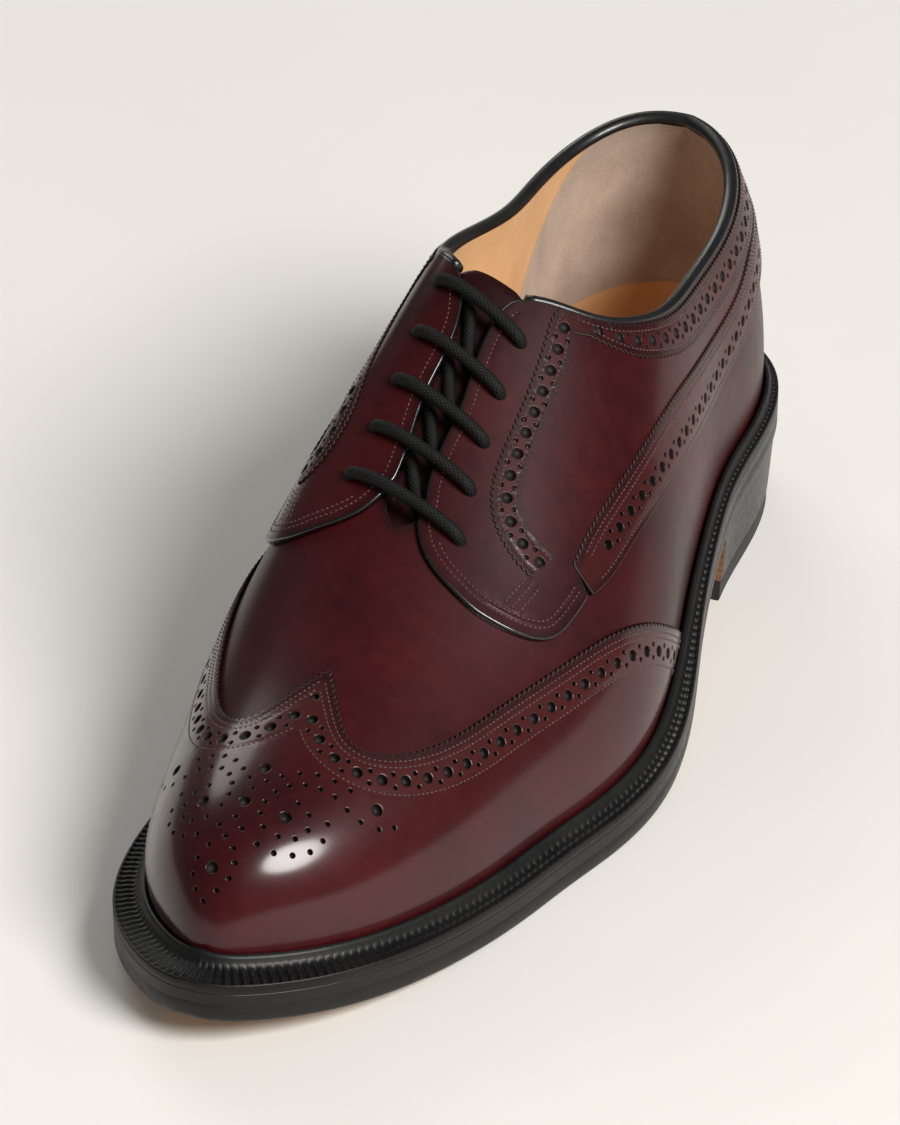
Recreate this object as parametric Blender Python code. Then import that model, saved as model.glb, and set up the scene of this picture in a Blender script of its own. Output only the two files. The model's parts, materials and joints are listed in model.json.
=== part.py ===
"""Wing-tip derby brogue, left shoe: last-shaped hollow upper on a storm-welted double leather sole.

The toe points to -Y, the outer (lateral) side is +X, and the shoe stands on Z = 0.
Sizes are millimetres in the tables and are scaled to metres when a mesh is made.
"""

import math
from collections import namedtuple

import bmesh
import bpy
import numpy as np

MM = 0.001

# Driving dimensions of the shoe
LENGTH = 305.0
WELT_AT_HEEL = 4.5
WELT_AT_TOE = 10.0
FEATHER_HEEL = WELT_AT_HEEL
FEATHER_TOE = LENGTH - WELT_AT_TOE
CLEARANCE = 0.3
LAYER_GAP = 0.55

# Sole layers
OUTSOLE = 4.6
MIDSOLE = 3.0
WELT = 2.6
STORM_LIP = 5.2
STORM_LIP_WIDTH = 2.2
INSOLE = 2.4
HEEL_BREAST = 80.0
TOP_PIECE = 6.0
HEEL_INSET = 0.6
HEEL_TAPER = 1.6

# Leather of the upper
UPPER_WALL = 2.0
QUARTER_WALL = 1.3
CAP_WALL = 1.1
STRAP_WALL = 2.0
BAND_WALL = 0.8
TONGUE_WALL = 2.0
TONGUE_GAP = 1.0

# Opening and lacing
THROAT_STATION = 190.0
BINDING_RADIUS = 1.9
LACE_RADIUS = 2.0

MEDIAL, LATERAL = -1, 1

# One row for each section of the last, from the heel to the toe. Station is measured along the shoe from the
# back of the sole. Medial and lateral place the foot of the wall, ridge_* its crown, and tilt is how steeply
# the crown falls to the lateral side.
Section = namedtuple("Section", "station medial lateral ridge_station ridge_x ridge_height tilt")
LAST = [
    Section(FEATHER_HEEL, 0.0, 0.0, 60.0, 0.0, 130.0, 0.0),
    Section(9.0, -14.0, 14.0, 60.5, 0.0, 130.0, 0.0),
    Section(18.0, -22.5, 23.0, 62.0, -0.3, 130.0, 0.0),
    Section(32.0, -28.0, 29.0, 66.0, -0.8, 130.0, 0.02),
    Section(52.0, -29.5, 32.0, 74.0, -1.8, 129.5, 0.08),
    Section(75.0, -27.5, 33.5, 87.0, -3.4, 128.5, 0.18),
    Section(98.0, -24.5, 37.0, 103.0, -5.2, 124.5, 0.30),
    Section(124.0, -23.5, 42.0, 124.0, -6.8, 116.0, 0.38),
    Section(146.0, -28.5, 47.0, 146.0, -7.8, 103.0, 0.37),
    Section(170.0, -37.5, 49.5, 170.0, -7.8, 87.5, 0.29),
    Section(191.0, -42.5, 46.5, 191.0, -7.6, 74.5, 0.21),
    Section(210.0, -43.5, 41.0, 210.0, -7.3, 65.0, 0.13),
    Section(230.0, -42.5, 35.5, 230.0, -7.0, 57.0, 0.05),
    Section(250.0, -40.5, 28.5, 250.0, -7.2, 51.5, 0.0),
    Section(267.0, -36.0, 20.5, 267.0, -7.7, 47.5, 0.0),
    Section(280.0, -29.0, 11.5, 280.0, -8.3, 43.0, 0.0),
    Section(289.5, -20.0, 1.5, 289.5, -8.8, 35.0, 0.0),
    Section(FEATHER_TOE, -9.0, -9.0, FEATHER_TOE, -9.0, 18.3, 0.0),
]

# How full each wall is: swell pushes it outwards, stand keeps its foot upright and crown squares its top.
Fullness = namedtuple("Fullness", "station swell stand crown")
MEDIAL_WALL = [
    Fullness(FEATHER_HEEL, 8.5, 0.47, 0.84),
    Fullness(18.0, 8.5, 0.47, 0.92),
    Fullness(52.0, 6.5, 0.47, 0.90),
    Fullness(75.0, 6.5, 0.49, 0.92),
    Fullness(98.0, 10.5, 0.53, 1.20),
    Fullness(124.0, 14.0, 0.60, 1.52),
    Fullness(146.0, 13.0, 0.62, 1.36),
    Fullness(170.0, 13.6, 0.59, 1.05),
    Fullness(191.0, 15.5, 0.56, 0.88),
    Fullness(210.0, 15.0, 0.55, 0.77),
    Fullness(230.0, 11.5, 0.56, 0.67),
    Fullness(250.0, 7.2, 0.58, 0.61),
    Fullness(280.0, 3.0, 0.58, 0.57),
    Fullness(FEATHER_TOE, 0.0, 0.5523, 0.5523),
]
LATERAL_WALL = [
    Fullness(FEATHER_HEEL, 8.5, 0.47, 0.84),
    Fullness(18.0, 4.5, 0.47, 0.58),
    Fullness(52.0, 3.5, 0.46, 0.48),
    Fullness(75.0, 3.5, 0.45, 0.51),
    Fullness(98.0, 4.5, 0.45, 0.57),
    Fullness(124.0, 6.0, 0.45, 0.60),
    Fullness(146.0, 6.0, 0.45, 0.58),
    Fullness(170.0, 5.0, 0.46, 0.53),
    Fullness(191.0, 4.0, 0.48, 0.51),
    Fullness(210.0, 3.5, 0.51, 0.52),
    Fullness(230.0, 3.5, 0.55, 0.55),
    Fullness(250.0, 3.5, 0.58, 0.57),
    Fullness(280.0, 2.2, 0.58, 0.57),
    Fullness(FEATHER_TOE, 0.0, 0.5523, 0.5523),
]

# Underside of the outsole and how far the welt stands out from the foot of the wall on each side.
Tread = namedtuple("Tread", "station rise medial_welt lateral_welt")
SOLE = [
    Tread(FEATHER_HEEL, 24.2, WELT_AT_HEEL, WELT_AT_HEEL),
    Tread(40.0, 23.6, 4.5, 4.5),
    Tread(75.0, 23.0, 4.2, 4.5),
    Tread(100.0, 19.6, 4.0, 4.8),
    Tread(125.0, 12.4, 4.6, 5.6),
    Tread(150.0, 5.4, 6.4, 6.8),
    Tread(175.0, 1.0, 7.6, 7.4),
    Tread(195.0, 0.0, 8.0, 7.6),
    Tread(222.0, 0.0, 8.2, 7.6),
    Tread(250.0, 1.4, 8.6, 8.0),
    Tread(275.0, 4.6, 9.4, 9.0),
    Tread(FEATHER_TOE, 9.0, WELT_AT_TOE, WELT_AT_TOE),
]


# Top edge of the upper as a share of each section: the collar from the heel, then the two facing edges
# beside the lacing, which close at the throat.
Rim = namedtuple("Rim", "station medial lateral")
RIM = [
    Rim(FEATHER_HEEL, 0.520, 0.520),
    Rim(12.0, 0.512, 0.510),
    Rim(18.0, 0.500, 0.498),
    Rim(32.0, 0.480, 0.472),
    Rim(52.0, 0.478, 0.455),
    Rim(75.0, 0.500, 0.465),
    Rim(98.0, 0.562, 0.530),
    Rim(112.0, 0.625, 0.618),
    Rim(118.0, 0.662, 0.672),
    Rim(125.0, 0.740, 0.775),
    Rim(131.0, 0.862, 0.900),
    Rim(137.0, 0.905, 0.945),
    Rim(160.0, 0.925, 0.945),
    Rim(180.0, 0.932, 0.940),
    Rim(187.0, 0.950, 0.950),
    Rim(THROAT_STATION, 1.0, 1.0),
]

# Back edge of the wing cap: rise runs from 0 at the storm lip to 1 at the ridge, where the wing peaks.
Wing = namedtuple("Wing", "rise station")
WING = [
    Wing(0.0, 135.0),
    Wing(0.08, 142.0),
    Wing(0.16, 150.0),
    Wing(0.24, 158.5),
    Wing(0.31, 168.5),
    Wing(0.37, 182.5),
    Wing(0.42, 201.0),
    Wing(0.47, 219.0),
    Wing(0.53, 232.0),
    Wing(0.62, 241.5),
    Wing(0.72, 245.5),
    Wing(0.83, 243.5),
    Wing(0.90, 238.5),
    Wing(0.95, 234.0),
    Wing(1.0, 229.0),
]

# Quarter panel: its lower edge follows the heel strap and then the flap, its upper edge the rim and the flap.
Quarter = namedtuple("Quarter", "station low high")
FLAP = [
    Quarter(172.4, 0.560, None),
    Quarter(173.6, 0.485, None),
    Quarter(181.0, 0.488, None),
    Quarter(187.0, 0.500, 0.938),
    Quarter(191.5, 0.540, 0.900),
    Quarter(194.6, 0.602, 0.842),
    Quarter(196.2, 0.660, 0.775),
    Quarter(196.8, 0.710, 0.712),
]
MEDIAL_FLAP_SETBACK = 3.0

# Heel strap: the band that climbs from the back corner of each flap to the heel.
Strap = namedtuple("Strap", "station low high")
STRAP = [
    Strap(FEATHER_HEEL, 0.322, 0.420),
    Strap(30.0, 0.284, 0.380),
    Strap(60.0, 0.232, 0.330),
    Strap(86.0, 0.240, 0.354),
    Strap(112.0, 0.304, 0.428),
    Strap(134.0, 0.380, 0.494),
    Strap(152.0, 0.434, 0.540),
    Strap(165.0, 0.456, 0.555),
    Strap(170.5, 0.470, 0.552),
]

# Punched band beside the lacing: its front and back lines, from the collar down to the flap.
Band = namedtuple("Band", "front_station front_medial front_lateral back_station back_medial back_lateral")
FACING_BAND = [
    Band(131.5, 0.662, 0.826, 135.5, 0.580, 0.755),
    Band(140.0, 0.655, 0.819, 143.0, 0.578, 0.757),
    Band(152.0, 0.680, 0.817, 153.0, 0.602, 0.760),
    Band(161.5, 0.715, 0.817, 161.0, 0.628, 0.756),
    Band(169.0, 0.733, 0.811, 166.5, 0.644, 0.747),
    Band(174.5, 0.722, 0.789, 170.5, 0.645, 0.728),
    Band(178.5, 0.695, 0.747, 173.0, 0.632, 0.693),
    Band(181.0, 0.650, 0.682, 173.8, 0.606, 0.646),
    Band(181.3, 0.606, 0.622, 173.5, 0.580, 0.597),
]
COLLAR_BAND_WIDTH = 0.078
COLLAR_BAND_FRONT = 127.0

# Eyelets: station along the shoe and distance from the lacing's centre line.
Eyelet = namedtuple("Eyelet", "station reach")
EYELETS = [
    Eyelet(183.8, 16.6),
    Eyelet(172.8, 14.8),
    Eyelet(161.8, 13.8),
    Eyelet(150.4, 13.3),
    Eyelet(138.0, 13.3),
]


class Spline:
    """Natural cubic spline through rows of values."""

    def __init__(self, knots, values):
        self.x = np.asarray(knots, float)
        self.y = np.asarray(values, float)
        count = len(self.x)
        step = np.diff(self.x)
        slope = np.diff(self.y) / step
        matrix = np.eye(count)
        right = np.zeros(count)
        for i in range(1, count - 1):
            matrix[i, i - 1 : i + 2] = step[i - 1], 2 * (step[i - 1] + step[i]), step[i]
            right[i] = 6 * (slope[i] - slope[i - 1])
        self.bend = np.linalg.solve(matrix, right)

    def __call__(self, x):
        i = int(np.clip(np.searchsorted(self.x, x) - 1, 0, len(self.x) - 2))
        step = self.x[i + 1] - self.x[i]
        a = (self.x[i + 1] - x) / step
        b = (x - self.x[i]) / step
        curve = ((a**3 - a) * self.bend[i] + (b**3 - b) * self.bend[i + 1]) * step**2 / 6
        return a * self.y[i] + b * self.y[i + 1] + curve


def turn_of(station):
    """Angle from 0 at the heel to pi at the toe, which makes both round ends smooth."""
    share = (station - FEATHER_HEEL) / (FEATHER_TOE - FEATHER_HEEL)
    return math.acos(1 - 2 * min(1.0, max(0.0, share)))


def station_of(turn):
    """Station of an angle along the last."""
    return FEATHER_HEEL + (FEATHER_TOE - FEATHER_HEEL) * (1 - math.cos(turn)) / 2


def columns(rows):
    """A spline over the turn angle for each named column of a table."""
    turns = [turn_of(row.station) for row in rows]
    return {name: Spline(turns, [getattr(row, name) for row in rows]) for name in rows[0]._fields}


LAST_AT = columns(LAST)
SOLE_AT = columns(SOLE)
WALL_AT = {MEDIAL: columns(MEDIAL_WALL), LATERAL: columns(LATERAL_WALL)}


def tread(turn):
    """Height of the outsole's underside, flat on the ground under the ball."""
    return max(0.0, SOLE_AT["rise"](turn))


def sole_top(turn):
    """Height of the midsole's top face."""
    return tread(turn) + OUTSOLE + CLEARANCE + MIDSOLE


def foot_height(turn):
    """Height of the foot of the upper's wall."""
    return sole_top(turn) + CLEARANCE


def foot(side, turn):
    """Foot of the upper's wall, where it meets the sole."""
    x = LAST_AT["medial" if side == MEDIAL else "lateral"](turn)
    return np.array([x, station_of(turn), foot_height(turn)])


def ridge(turn):
    """Crown of the last."""
    height = max(LAST_AT["ridge_height"](turn), foot_height(turn))
    return np.array([LAST_AT["ridge_x"](turn), LAST_AT["ridge_station"](turn), height])


def last_point(side, turn, share):
    """Point on the last's outer surface: share runs from 0 at the foot of the wall to 1 at the ridge."""
    low, high = foot(side, turn), ridge(turn)
    out = low - high
    out[2] = 0.0
    reach = np.linalg.norm(out)
    out = out / reach if reach > 1e-6 else np.array([0.0, 1.0, 0.0])
    rise = np.array([0.0, 0.0, high[2] - low[2]])
    wall = WALL_AT[side]
    lower_handle = low + wall["stand"](turn) * rise + wall["swell"](turn) * out
    upper_handle = high + wall["crown"](turn) * reach * out
    upper_handle[2] -= LAST_AT["tilt"](turn) * (upper_handle[0] - high[0])
    keep = 1 - share
    return (
        keep**3 * low
        + 3 * keep**2 * share * lower_handle
        + 3 * keep * share**2 * upper_handle
        + share**3 * high
    )


STEP = 1e-3


def last_normal(side, turn, share):
    """Outward normal of the last's surface."""
    turn = min(math.pi - 2 * STEP, max(2 * STEP, turn))
    share = min(1 - STEP, max(STEP, share))
    along = last_point(side, turn + STEP, share) - last_point(side, turn - STEP, share)
    up = last_point(side, turn, share + STEP) - last_point(side, turn, share - STEP)
    normal = np.cross(along, up) * side
    return normal / np.linalg.norm(normal)


def skin(side, turn, share, offset):
    """Point at a distance outside the last's surface."""
    point = last_point(side, turn, share)
    normal = last_normal(side, turn, share)
    if turn <= STEP or share >= 1 - STEP:
        normal = normal + last_normal(-side, turn, share)
        normal /= np.linalg.norm(normal)
    if turn >= math.pi - STEP:
        normal = np.array([0.0, 1.0, 0.0])
    return point + normal * offset


def plan_normal(side, turn):
    """Outward direction of the foot line, seen from above."""
    if turn <= STEP:
        return np.array([0.0, -1.0, 0.0])
    if turn >= math.pi - STEP:
        return np.array([0.0, 1.0, 0.0])
    run = foot(side, turn + STEP) - foot(side, turn - STEP)
    normal = np.array([run[1], -run[0], 0.0]) * side
    return normal / np.linalg.norm(normal)


def sole_edge(side, turn, inset=0.0):
    """Point of the sole's outline, inset from the welt's outer edge."""
    width = SOLE_AT["medial_welt" if side == MEDIAL else "lateral_welt"](turn)
    return foot(side, turn) + plan_normal(side, turn) * (width - inset)


def share_at_rise(side, turn, rise):
    """Share of the section that stands a height above the foot of the wall; 1 where the wall is lower."""
    target = foot_height(turn) + rise
    low, high = 0.0, 1.0
    if ridge(turn)[2] <= target:
        return 1.0
    for _ in range(30):
        middle = (low + high) / 2
        if last_point(side, turn, middle)[2] < target:
            low = middle
        else:
            high = middle
    return high


def share_at_reach(side, turn, reach):
    """Share of the section at a straight distance from the ridge."""
    crown = ridge(turn)
    low, high = 0.3, 1.0
    for _ in range(30):
        middle = (low + high) / 2
        if np.linalg.norm(last_point(side, turn, middle) - crown) > reach:
            low = middle
        else:
            high = middle
    return high


def rim_share(side, turn):
    """Share at the upper's top edge."""
    if station_of(turn) >= THROAT_STATION:
        return 1.0
    return min(1.0, RIM_AT["medial" if side == MEDIAL else "lateral"](turn))


def grid_solid(name, patches, colour):
    """Closed solid between paired outer and inner grids of points; edges that match are welded.

    Each patch is a list of rows, each row a list of (outer, inner) points.
    """
    index = {}
    outer, inner, faces = [], [], []

    def place(pair):
        key = tuple(np.round(pair[0] / WELD).astype(int))
        if key not in index:
            index[key] = len(outer)
            outer.append(pair[0])
            inner.append(pair[1])
        return index[key]

    for rows in patches:
        ids = [[place(pair) for pair in row] for row in rows]
        for i in range(len(ids) - 1):
            for j in range(len(ids[0]) - 1):
                loop = [ids[i][j], ids[i + 1][j], ids[i + 1][j + 1], ids[i][j + 1]]
                loop = [v for k, v in enumerate(loop) if v != loop[k - 1]]
                if len(loop) >= 3:
                    faces.append(loop)
    count = len(outer)
    edges = {}
    for loop in faces:
        for a, b in zip(loop, loop[1:] + loop[:1]):
            edges.setdefault(frozenset((a, b)), []).append((a, b))
    closed = list(faces) + [[v + count for v in reversed(loop)] for loop in faces]
    for users in edges.values():
        if len(users) == 1:
            a, b = users[0]
            closed.append([b, a, a + count, b + count])
    return mesh_object(name, outer + inner, closed, colour)


def mesh_object(name, points, faces, colour):
    """A named object with its own material from points in millimetres."""
    mesh = bpy.data.meshes.new(name)
    mesh.from_pydata([(p[0] * MM, (LENGTH / 2 - p[1]) * MM, p[2] * MM) for p in points], [], faces)
    work = bmesh.new()
    work.from_mesh(mesh)
    bmesh.ops.recalc_face_normals(work, faces=work.faces)
    work.to_mesh(mesh)
    work.free()
    item = bpy.data.objects.new(name, mesh)
    material = bpy.data.materials.new(name)
    material.use_nodes = True
    shader = material.node_tree.nodes["Principled BSDF"]
    shader.inputs["Base Color"].default_value = (*colour, 1.0)
    shader.inputs["Roughness"].default_value = 0.35
    mesh.materials.append(material)
    bpy.data.collections["brogue"].objects.link(item)
    return item


def pair(side, turn, share, low, high):
    """Outer and inner points of a piece of leather lying between two distances from the last."""
    return skin(side, turn, share, high), skin(side, turn, share, low)


def turns(start, stop, count):
    """Evenly spaced turn angles between two stations."""
    return np.linspace(turn_of(start), turn_of(stop), count)


def back_rows():
    """Turn angles of the rows behind the throat, closer where the collar climbs to the facings."""
    climb = (108.0, 113.0, 118.0, 122.0, 125.0, 128.0, 131.0, 136.0, 144.0, 152.0, 160.0, 168.0, 175.0, 181.0, 186.0)
    return [*turns(FEATHER_HEEL, 102.0, 13), *(turn_of(station) for station in climb)]


def build_upper():
    """Hollow upper: vamp and quarters in one shell, open at the collar, the throat and underneath."""
    rows = [*back_rows(), *turns(THROAT_STATION, FEATHER_TOE, 19)]
    patches = []
    for side in (MEDIAL, LATERAL):
        grid = []
        for turn in rows:
            top = rim_share(side, turn)
            grid.append([pair(side, turn, top * j / 10, -UPPER_WALL, 0.0) for j in range(11)])
        patches.append(grid)
    return grid_solid("upper", patches, LEATHER)


def build_sole_layer(name, low, high, inset, colour):
    """One layer of the sole, between two heights given over the turn angle."""
    grid = []
    for turn in np.linspace(0.0, math.pi, 41):
        row = []
        for side in (MEDIAL, LATERAL):
            point = sole_edge(side, turn, inset)
            top, bottom = point.copy(), point.copy()
            top[2], bottom[2] = high(turn), low(turn)
            row.append((top, bottom))
        grid.append(row)
    return grid_solid(name, [grid], colour)


def build_insole():
    """Insole board lying inside the upper."""
    grid = []
    inset = UPPER_WALL + 4 * CLEARANCE
    for turn in np.linspace(0.0, math.pi, 33):
        row = []
        ends = [foot(side, turn) - plan_normal(side, turn) * inset for side in (MEDIAL, LATERAL)]
        for share in (0.0, 1.0):
            point = ends[0] * (1 - share) + ends[1] * share
            top, bottom = point.copy(), point.copy()
            top[2] = sole_top(turn) + CLEARANCE + INSOLE
            bottom[2] = sole_top(turn) + CLEARANCE
            row.append((top, bottom))
        grid.append(row)
    return grid_solid("insole", [grid], TAN)


def welt_ring(side, turn):
    """Section of the welt: a storm lip against the upper and a flat rim out to the sole's edge."""
    base = foot(side, turn)
    out = plan_normal(side, turn)
    width = SOLE_AT["medial_welt" if side == MEDIAL else "lateral_welt"](turn)
    floor = sole_top(turn) + CLEARANCE
    swell = 0.0
    for share in (share_at_rise(side, turn, STORM_LIP), share_at_rise(side, turn, STORM_LIP / 2)):
        swell = max(swell, float((last_point(side, turn, share) - base) @ out))
    inner = CLEARANCE
    lip = max(0.0, swell) + CLEARANCE
    outline = (
        (inner, 0.0),
        (lip, STORM_LIP),
        (lip + 0.6 * STORM_LIP_WIDTH, STORM_LIP - 0.2),
        (lip + STORM_LIP_WIDTH, WELT + 0.4),
        (max(lip + STORM_LIP_WIDTH + 0.4, width - 1.2), WELT),
        (max(lip + STORM_LIP_WIDTH + 0.8, width), WELT - 0.8),
        (max(lip + STORM_LIP_WIDTH + 0.8, width), 0.0),
    )
    points = []
    for reach, height in outline:
        point = base + out * reach
        point[2] = floor + height
        points.append(point)
    return points


def build_welt():
    """Storm welt all round the upper's foot."""
    loop = [(LATERAL, t) for t in np.linspace(0.0, math.pi, 37)]
    loop += [(MEDIAL, t) for t in np.linspace(math.pi, 0.0, 37)[1:-1]]
    rings = [welt_ring(side, turn) for side, turn in loop]
    points = [p for ring in rings for p in ring]
    size, count = len(rings[0]), len(rings)
    faces = []
    for i in range(count):
        for j in range(size):
            a, b = i * size + j, i * size + (j + 1) % size
            c, d = ((i + 1) % count) * size + (j + 1) % size, ((i + 1) % count) * size + j
            faces.append([a, b, c, d])
    return mesh_object("welt", points, faces, BLACK)


def build_heel(name, low, high, taper_low, taper_high, colour):
    """Lift of the heel: the sole's outline behind a straight breast, drawn in a little towards the ground."""
    grid = []
    for turn in turns(FEATHER_HEEL, HEEL_BREAST, 15):
        row = []
        for share in (0.0, 0.5, 1.0):
            points = []
            for height, taper in ((high(turn), taper_high), (low(turn), taper_low)):
                ends = [sole_edge(side, turn, HEEL_INSET + taper) for side in (MEDIAL, LATERAL)]
                point = ends[0] * (1 - share) + ends[1] * share
                if turn >= turn_of(HEEL_BREAST) - STEP:
                    point[1] = HEEL_BREAST
                point[2] = height
                points.append(point)
            row.append(tuple(points))
        grid.append(row)
    return grid_solid(name, [grid], colour)


def wing_tip_turn():
    """Turn angle at the toe where the upper rises clear of the storm lip."""
    low, high = turn_of(270.0), math.pi
    for _ in range(40):
        middle = (low + high) / 2
        if ridge(middle)[2] - foot_height(middle) > LIP_CLEAR:
            low = middle
        else:
            high = middle
    return low


def above_lip(side, turn, rise):
    """Share of the section for a rise from 0 just above the storm lip to 1 at the ridge."""
    lip = share_at_rise(side, turn, LIP_CLEAR)
    return lip + (1 - lip) * rise


def build_wing_cap():
    """Wing cap over the toe, its back edge peaking on the ridge."""
    edge = Spline([row.rise for row in WING], [row.station for row in WING])
    tip = wing_tip_turn()
    low = LAYER_GAP
    patches = []
    for side in (MEDIAL, LATERAL):
        grid = []
        for row in WING:
            start = turn_of(edge(row.rise))
            line = []
            for share in np.linspace(0.0, 1.0, 12):
                turn = start + (tip - start) * share
                lift = low + 0.4 * max(0.0, share - 0.8) / 0.2
                line.append(pair(side, turn, above_lip(side, turn, row.rise), lift, low + CAP_WALL))
            grid.append(line)
        patches.append(grid)
    return grid_solid("wing_cap", patches, LEATHER)


def strap_shares(side, turn):
    """Lower and upper edge of the heel strap, kept below the collar band."""
    low, high = STRAP_AT["low"](turn), STRAP_AT["high"](turn)
    top = min(high, rim_share(side, turn) - COLLAR_BAND_WIDTH - 0.020)
    return low + top - high, top


def build_quarter(name, side):
    """Quarter: the panel from the collar to the heel strap, with the laced flap over the vamp."""
    setback = MEDIAL_FLAP_SETBACK if side == MEDIAL else 0.0
    seam = 0.006
    grid = []
    back = [turn for turn in back_rows()[1:] if station_of(turn) < 169.0 - setback]
    for turn in [turn_of(FEATHER_HEEL + 0.1), *back, turn_of(171.6 - setback)]:
        grid.append((turn, strap_shares(side, turn)[1] + seam, rim_share(side, turn)))
    for row in FLAP:
        turn = turn_of(row.station - setback)
        high = rim_share(side, turn) if row.high is None else min(row.high, rim_share(side, turn))
        grid.append((turn, row.low, high))
    rows = []
    for turn, low, high in grid:
        line = [low + (high - low) * j / 5 for j in range(6)]
        rows.append([pair(side, turn, share, LAYER_GAP, LAYER_GAP + QUARTER_WALL) for share in line])
    return grid_solid(name, [rows], LEATHER)


def build_strap():
    """Heel strap, from one flap round the heel to the other."""
    patches = []
    for side in (MEDIAL, LATERAL):
        setback = MEDIAL_FLAP_SETBACK if side == MEDIAL else 0.0
        rows = []
        front = STRAP[-1].station - setback
        back = [turn for turn in back_rows() if station_of(turn) < front - 1.5]
        for turn in [*back, turn_of(front)]:
            low, high = strap_shares(side, turn)
            line = [low + (high - low) * j / 2 for j in range(3)]
            rows.append([pair(side, turn, share, LAYER_GAP, LAYER_GAP + STRAP_WALL) for share in line])
        patches.append(rows)
    return grid_solid("heel_strap", patches, BROWN)


def build_facing_band(name, side):
    """Punched band beside the eyelets."""
    setback = MEDIAL_FLAP_SETBACK if side == MEDIAL else 0.0
    word = "medial" if side == MEDIAL else "lateral"
    steps = list(range(len(FACING_BAND)))
    line = {key: Spline(steps, [getattr(row, key) for row in FACING_BAND]) for key in Band._fields}
    low = 2 * LAYER_GAP + QUARTER_WALL
    rows = []
    for step in np.linspace(0, len(FACING_BAND) - 1, 17):
        front = line["front_station"](step) - setback, line["front_" + word](step)
        back = line["back_station"](step) - setback, line["back_" + word](step)
        row = []
        for share in (0.0, 0.5, 1.0):
            station = front[0] * (1 - share) + back[0] * share
            height = front[1] * (1 - share) + back[1] * share
            row.append(pair(side, turn_of(station), height, low, low + BAND_WALL))
        rows.append(row)
    return grid_solid(name, [rows], BROWN)


def build_collar_band(name, side):
    """Punched band below the collar binding on one side, from the facing band to the heel."""
    low = 2 * LAYER_GAP + QUARTER_WALL
    rows = []
    back = [turn for turn in back_rows()[1:] if station_of(turn) < COLLAR_BAND_FRONT - 1.0]
    for turn in [turn_of(FEATHER_HEEL + 0.1), *back, turn_of(COLLAR_BAND_FRONT)]:
        top = rim_share(side, turn) - 0.008
        bottom = top - COLLAR_BAND_WIDTH
        row = [bottom + (top - bottom) * j / 2 for j in range(3)]
        rows.append([pair(side, turn, share, low, low + BAND_WALL) for share in row])
    return grid_solid(name, [rows], BROWN)


def build_tongue():
    """Tongue under the lacing, its round top standing above the facings."""
    low = -UPPER_WALL - TONGUE_GAP - TONGUE_WALL
    rows = []
    for station, reach in TONGUE:
        turn = turn_of(station)
        row = []
        for j in range(-3, 4):
            side = MEDIAL if j < 0 else LATERAL
            share = share_at_reach(side, turn, reach * abs(j) / 3)
            row.append(pair(side, turn, share, low, low + TONGUE_WALL))
        rows.append(row)
    return grid_solid("tongue", [rows], LEATHER)


def tube(name, path, radius, sides, colour):
    """Closed round tube along a path of points."""
    path = [np.asarray(p, float) for p in path]
    points, faces = [], []
    across = None
    for i, here in enumerate(path):
        run = path[min(i + 1, len(path) - 1)] - path[max(i - 1, 0)]
        run /= np.linalg.norm(run)
        if across is None:
            across = np.cross(run, (0.0, 0.0, 1.0))
        across = across - run * (across @ run)
        across /= np.linalg.norm(across)
        other = np.cross(run, across)
        for k in range(sides):
            angle = 2 * math.pi * k / sides
            points.append(here + radius * (math.cos(angle) * across + math.sin(angle) * other))
    for i in range(len(path) - 1):
        for k in range(sides):
            a, b = i * sides + k, i * sides + (k + 1) % sides
            faces.append([a, b, b + sides, a + sides])
    faces.append(list(range(sides)))
    faces.append([(len(path) - 1) * sides + k for k in reversed(range(sides))])
    return mesh_object(name, points, faces, colour)


def build_binding():
    """Rolled binding on the collar, from one facing top round the heel to the other."""
    middle = (LAYER_GAP + QUARTER_WALL - UPPER_WALL) / 2
    lift = BINDING_RADIUS + CLEARANCE + 0.25

    def rail(side, turn):
        share = rim_share(side, turn)
        up = last_point(side, turn, share + STEP) - last_point(side, turn, share - STEP)
        ahead = rim_point(side, turn + STEP) - rim_point(side, max(0.0, turn - STEP))
        ahead /= np.linalg.norm(ahead)
        up = up - ahead * (up @ ahead)
        up /= np.linalg.norm(up)
        return skin(side, turn, share, middle) + up * lift

    rows = [turn for turn in back_rows()[1:] if station_of(turn) < BINDING_FRONT + 0.1]
    path = [rail(MEDIAL, turn) for turn in reversed(rows)]
    path += [rail(LATERAL, turn) for turn in rows]
    return tube("collar_binding", path, BINDING_RADIUS, 7, BLACK)


def rim_point(side, turn):
    """Point on the upper's top edge."""
    return last_point(side, turn, rim_share(side, turn))


def build_lace(number, eyelet):
    """Lace bar lying across the facings between two eyelets."""
    turn = turn_of(eyelet.station)
    lift = 2 * LAYER_GAP + QUARTER_WALL + LACE_RADIUS
    ends = []
    for side in (MEDIAL, LATERAL):
        ends.append([skin(side, turn, share_at_reach(side, turn, eyelet.reach * k), lift) for k in (1.0, 0.75, 0.5)])
    crown = skin(LATERAL, turn, 1.0, lift)
    path = ends[0] + [crown * 0.5 + (ends[0][2] + ends[1][2]) * 0.25] + ends[1][::-1]
    return tube("lace_bar_%d" % number, path, LACE_RADIUS, 8, BLACK)


def settle(items):
    """Move every piece so that the origin is under the middle of the whole shoe's box."""
    points = np.array([v.co[:] for item in items for v in item.data.vertices])
    low, high = points.min(axis=0), points.max(axis=0)
    shift = ((low[0] + high[0]) / 2, (low[1] + high[1]) / 2, low[2])
    for item in items:
        for vertex in item.data.vertices:
            vertex.co.x -= shift[0]
            vertex.co.y -= shift[1]
            vertex.co.z -= shift[2]
    return shift


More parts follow.
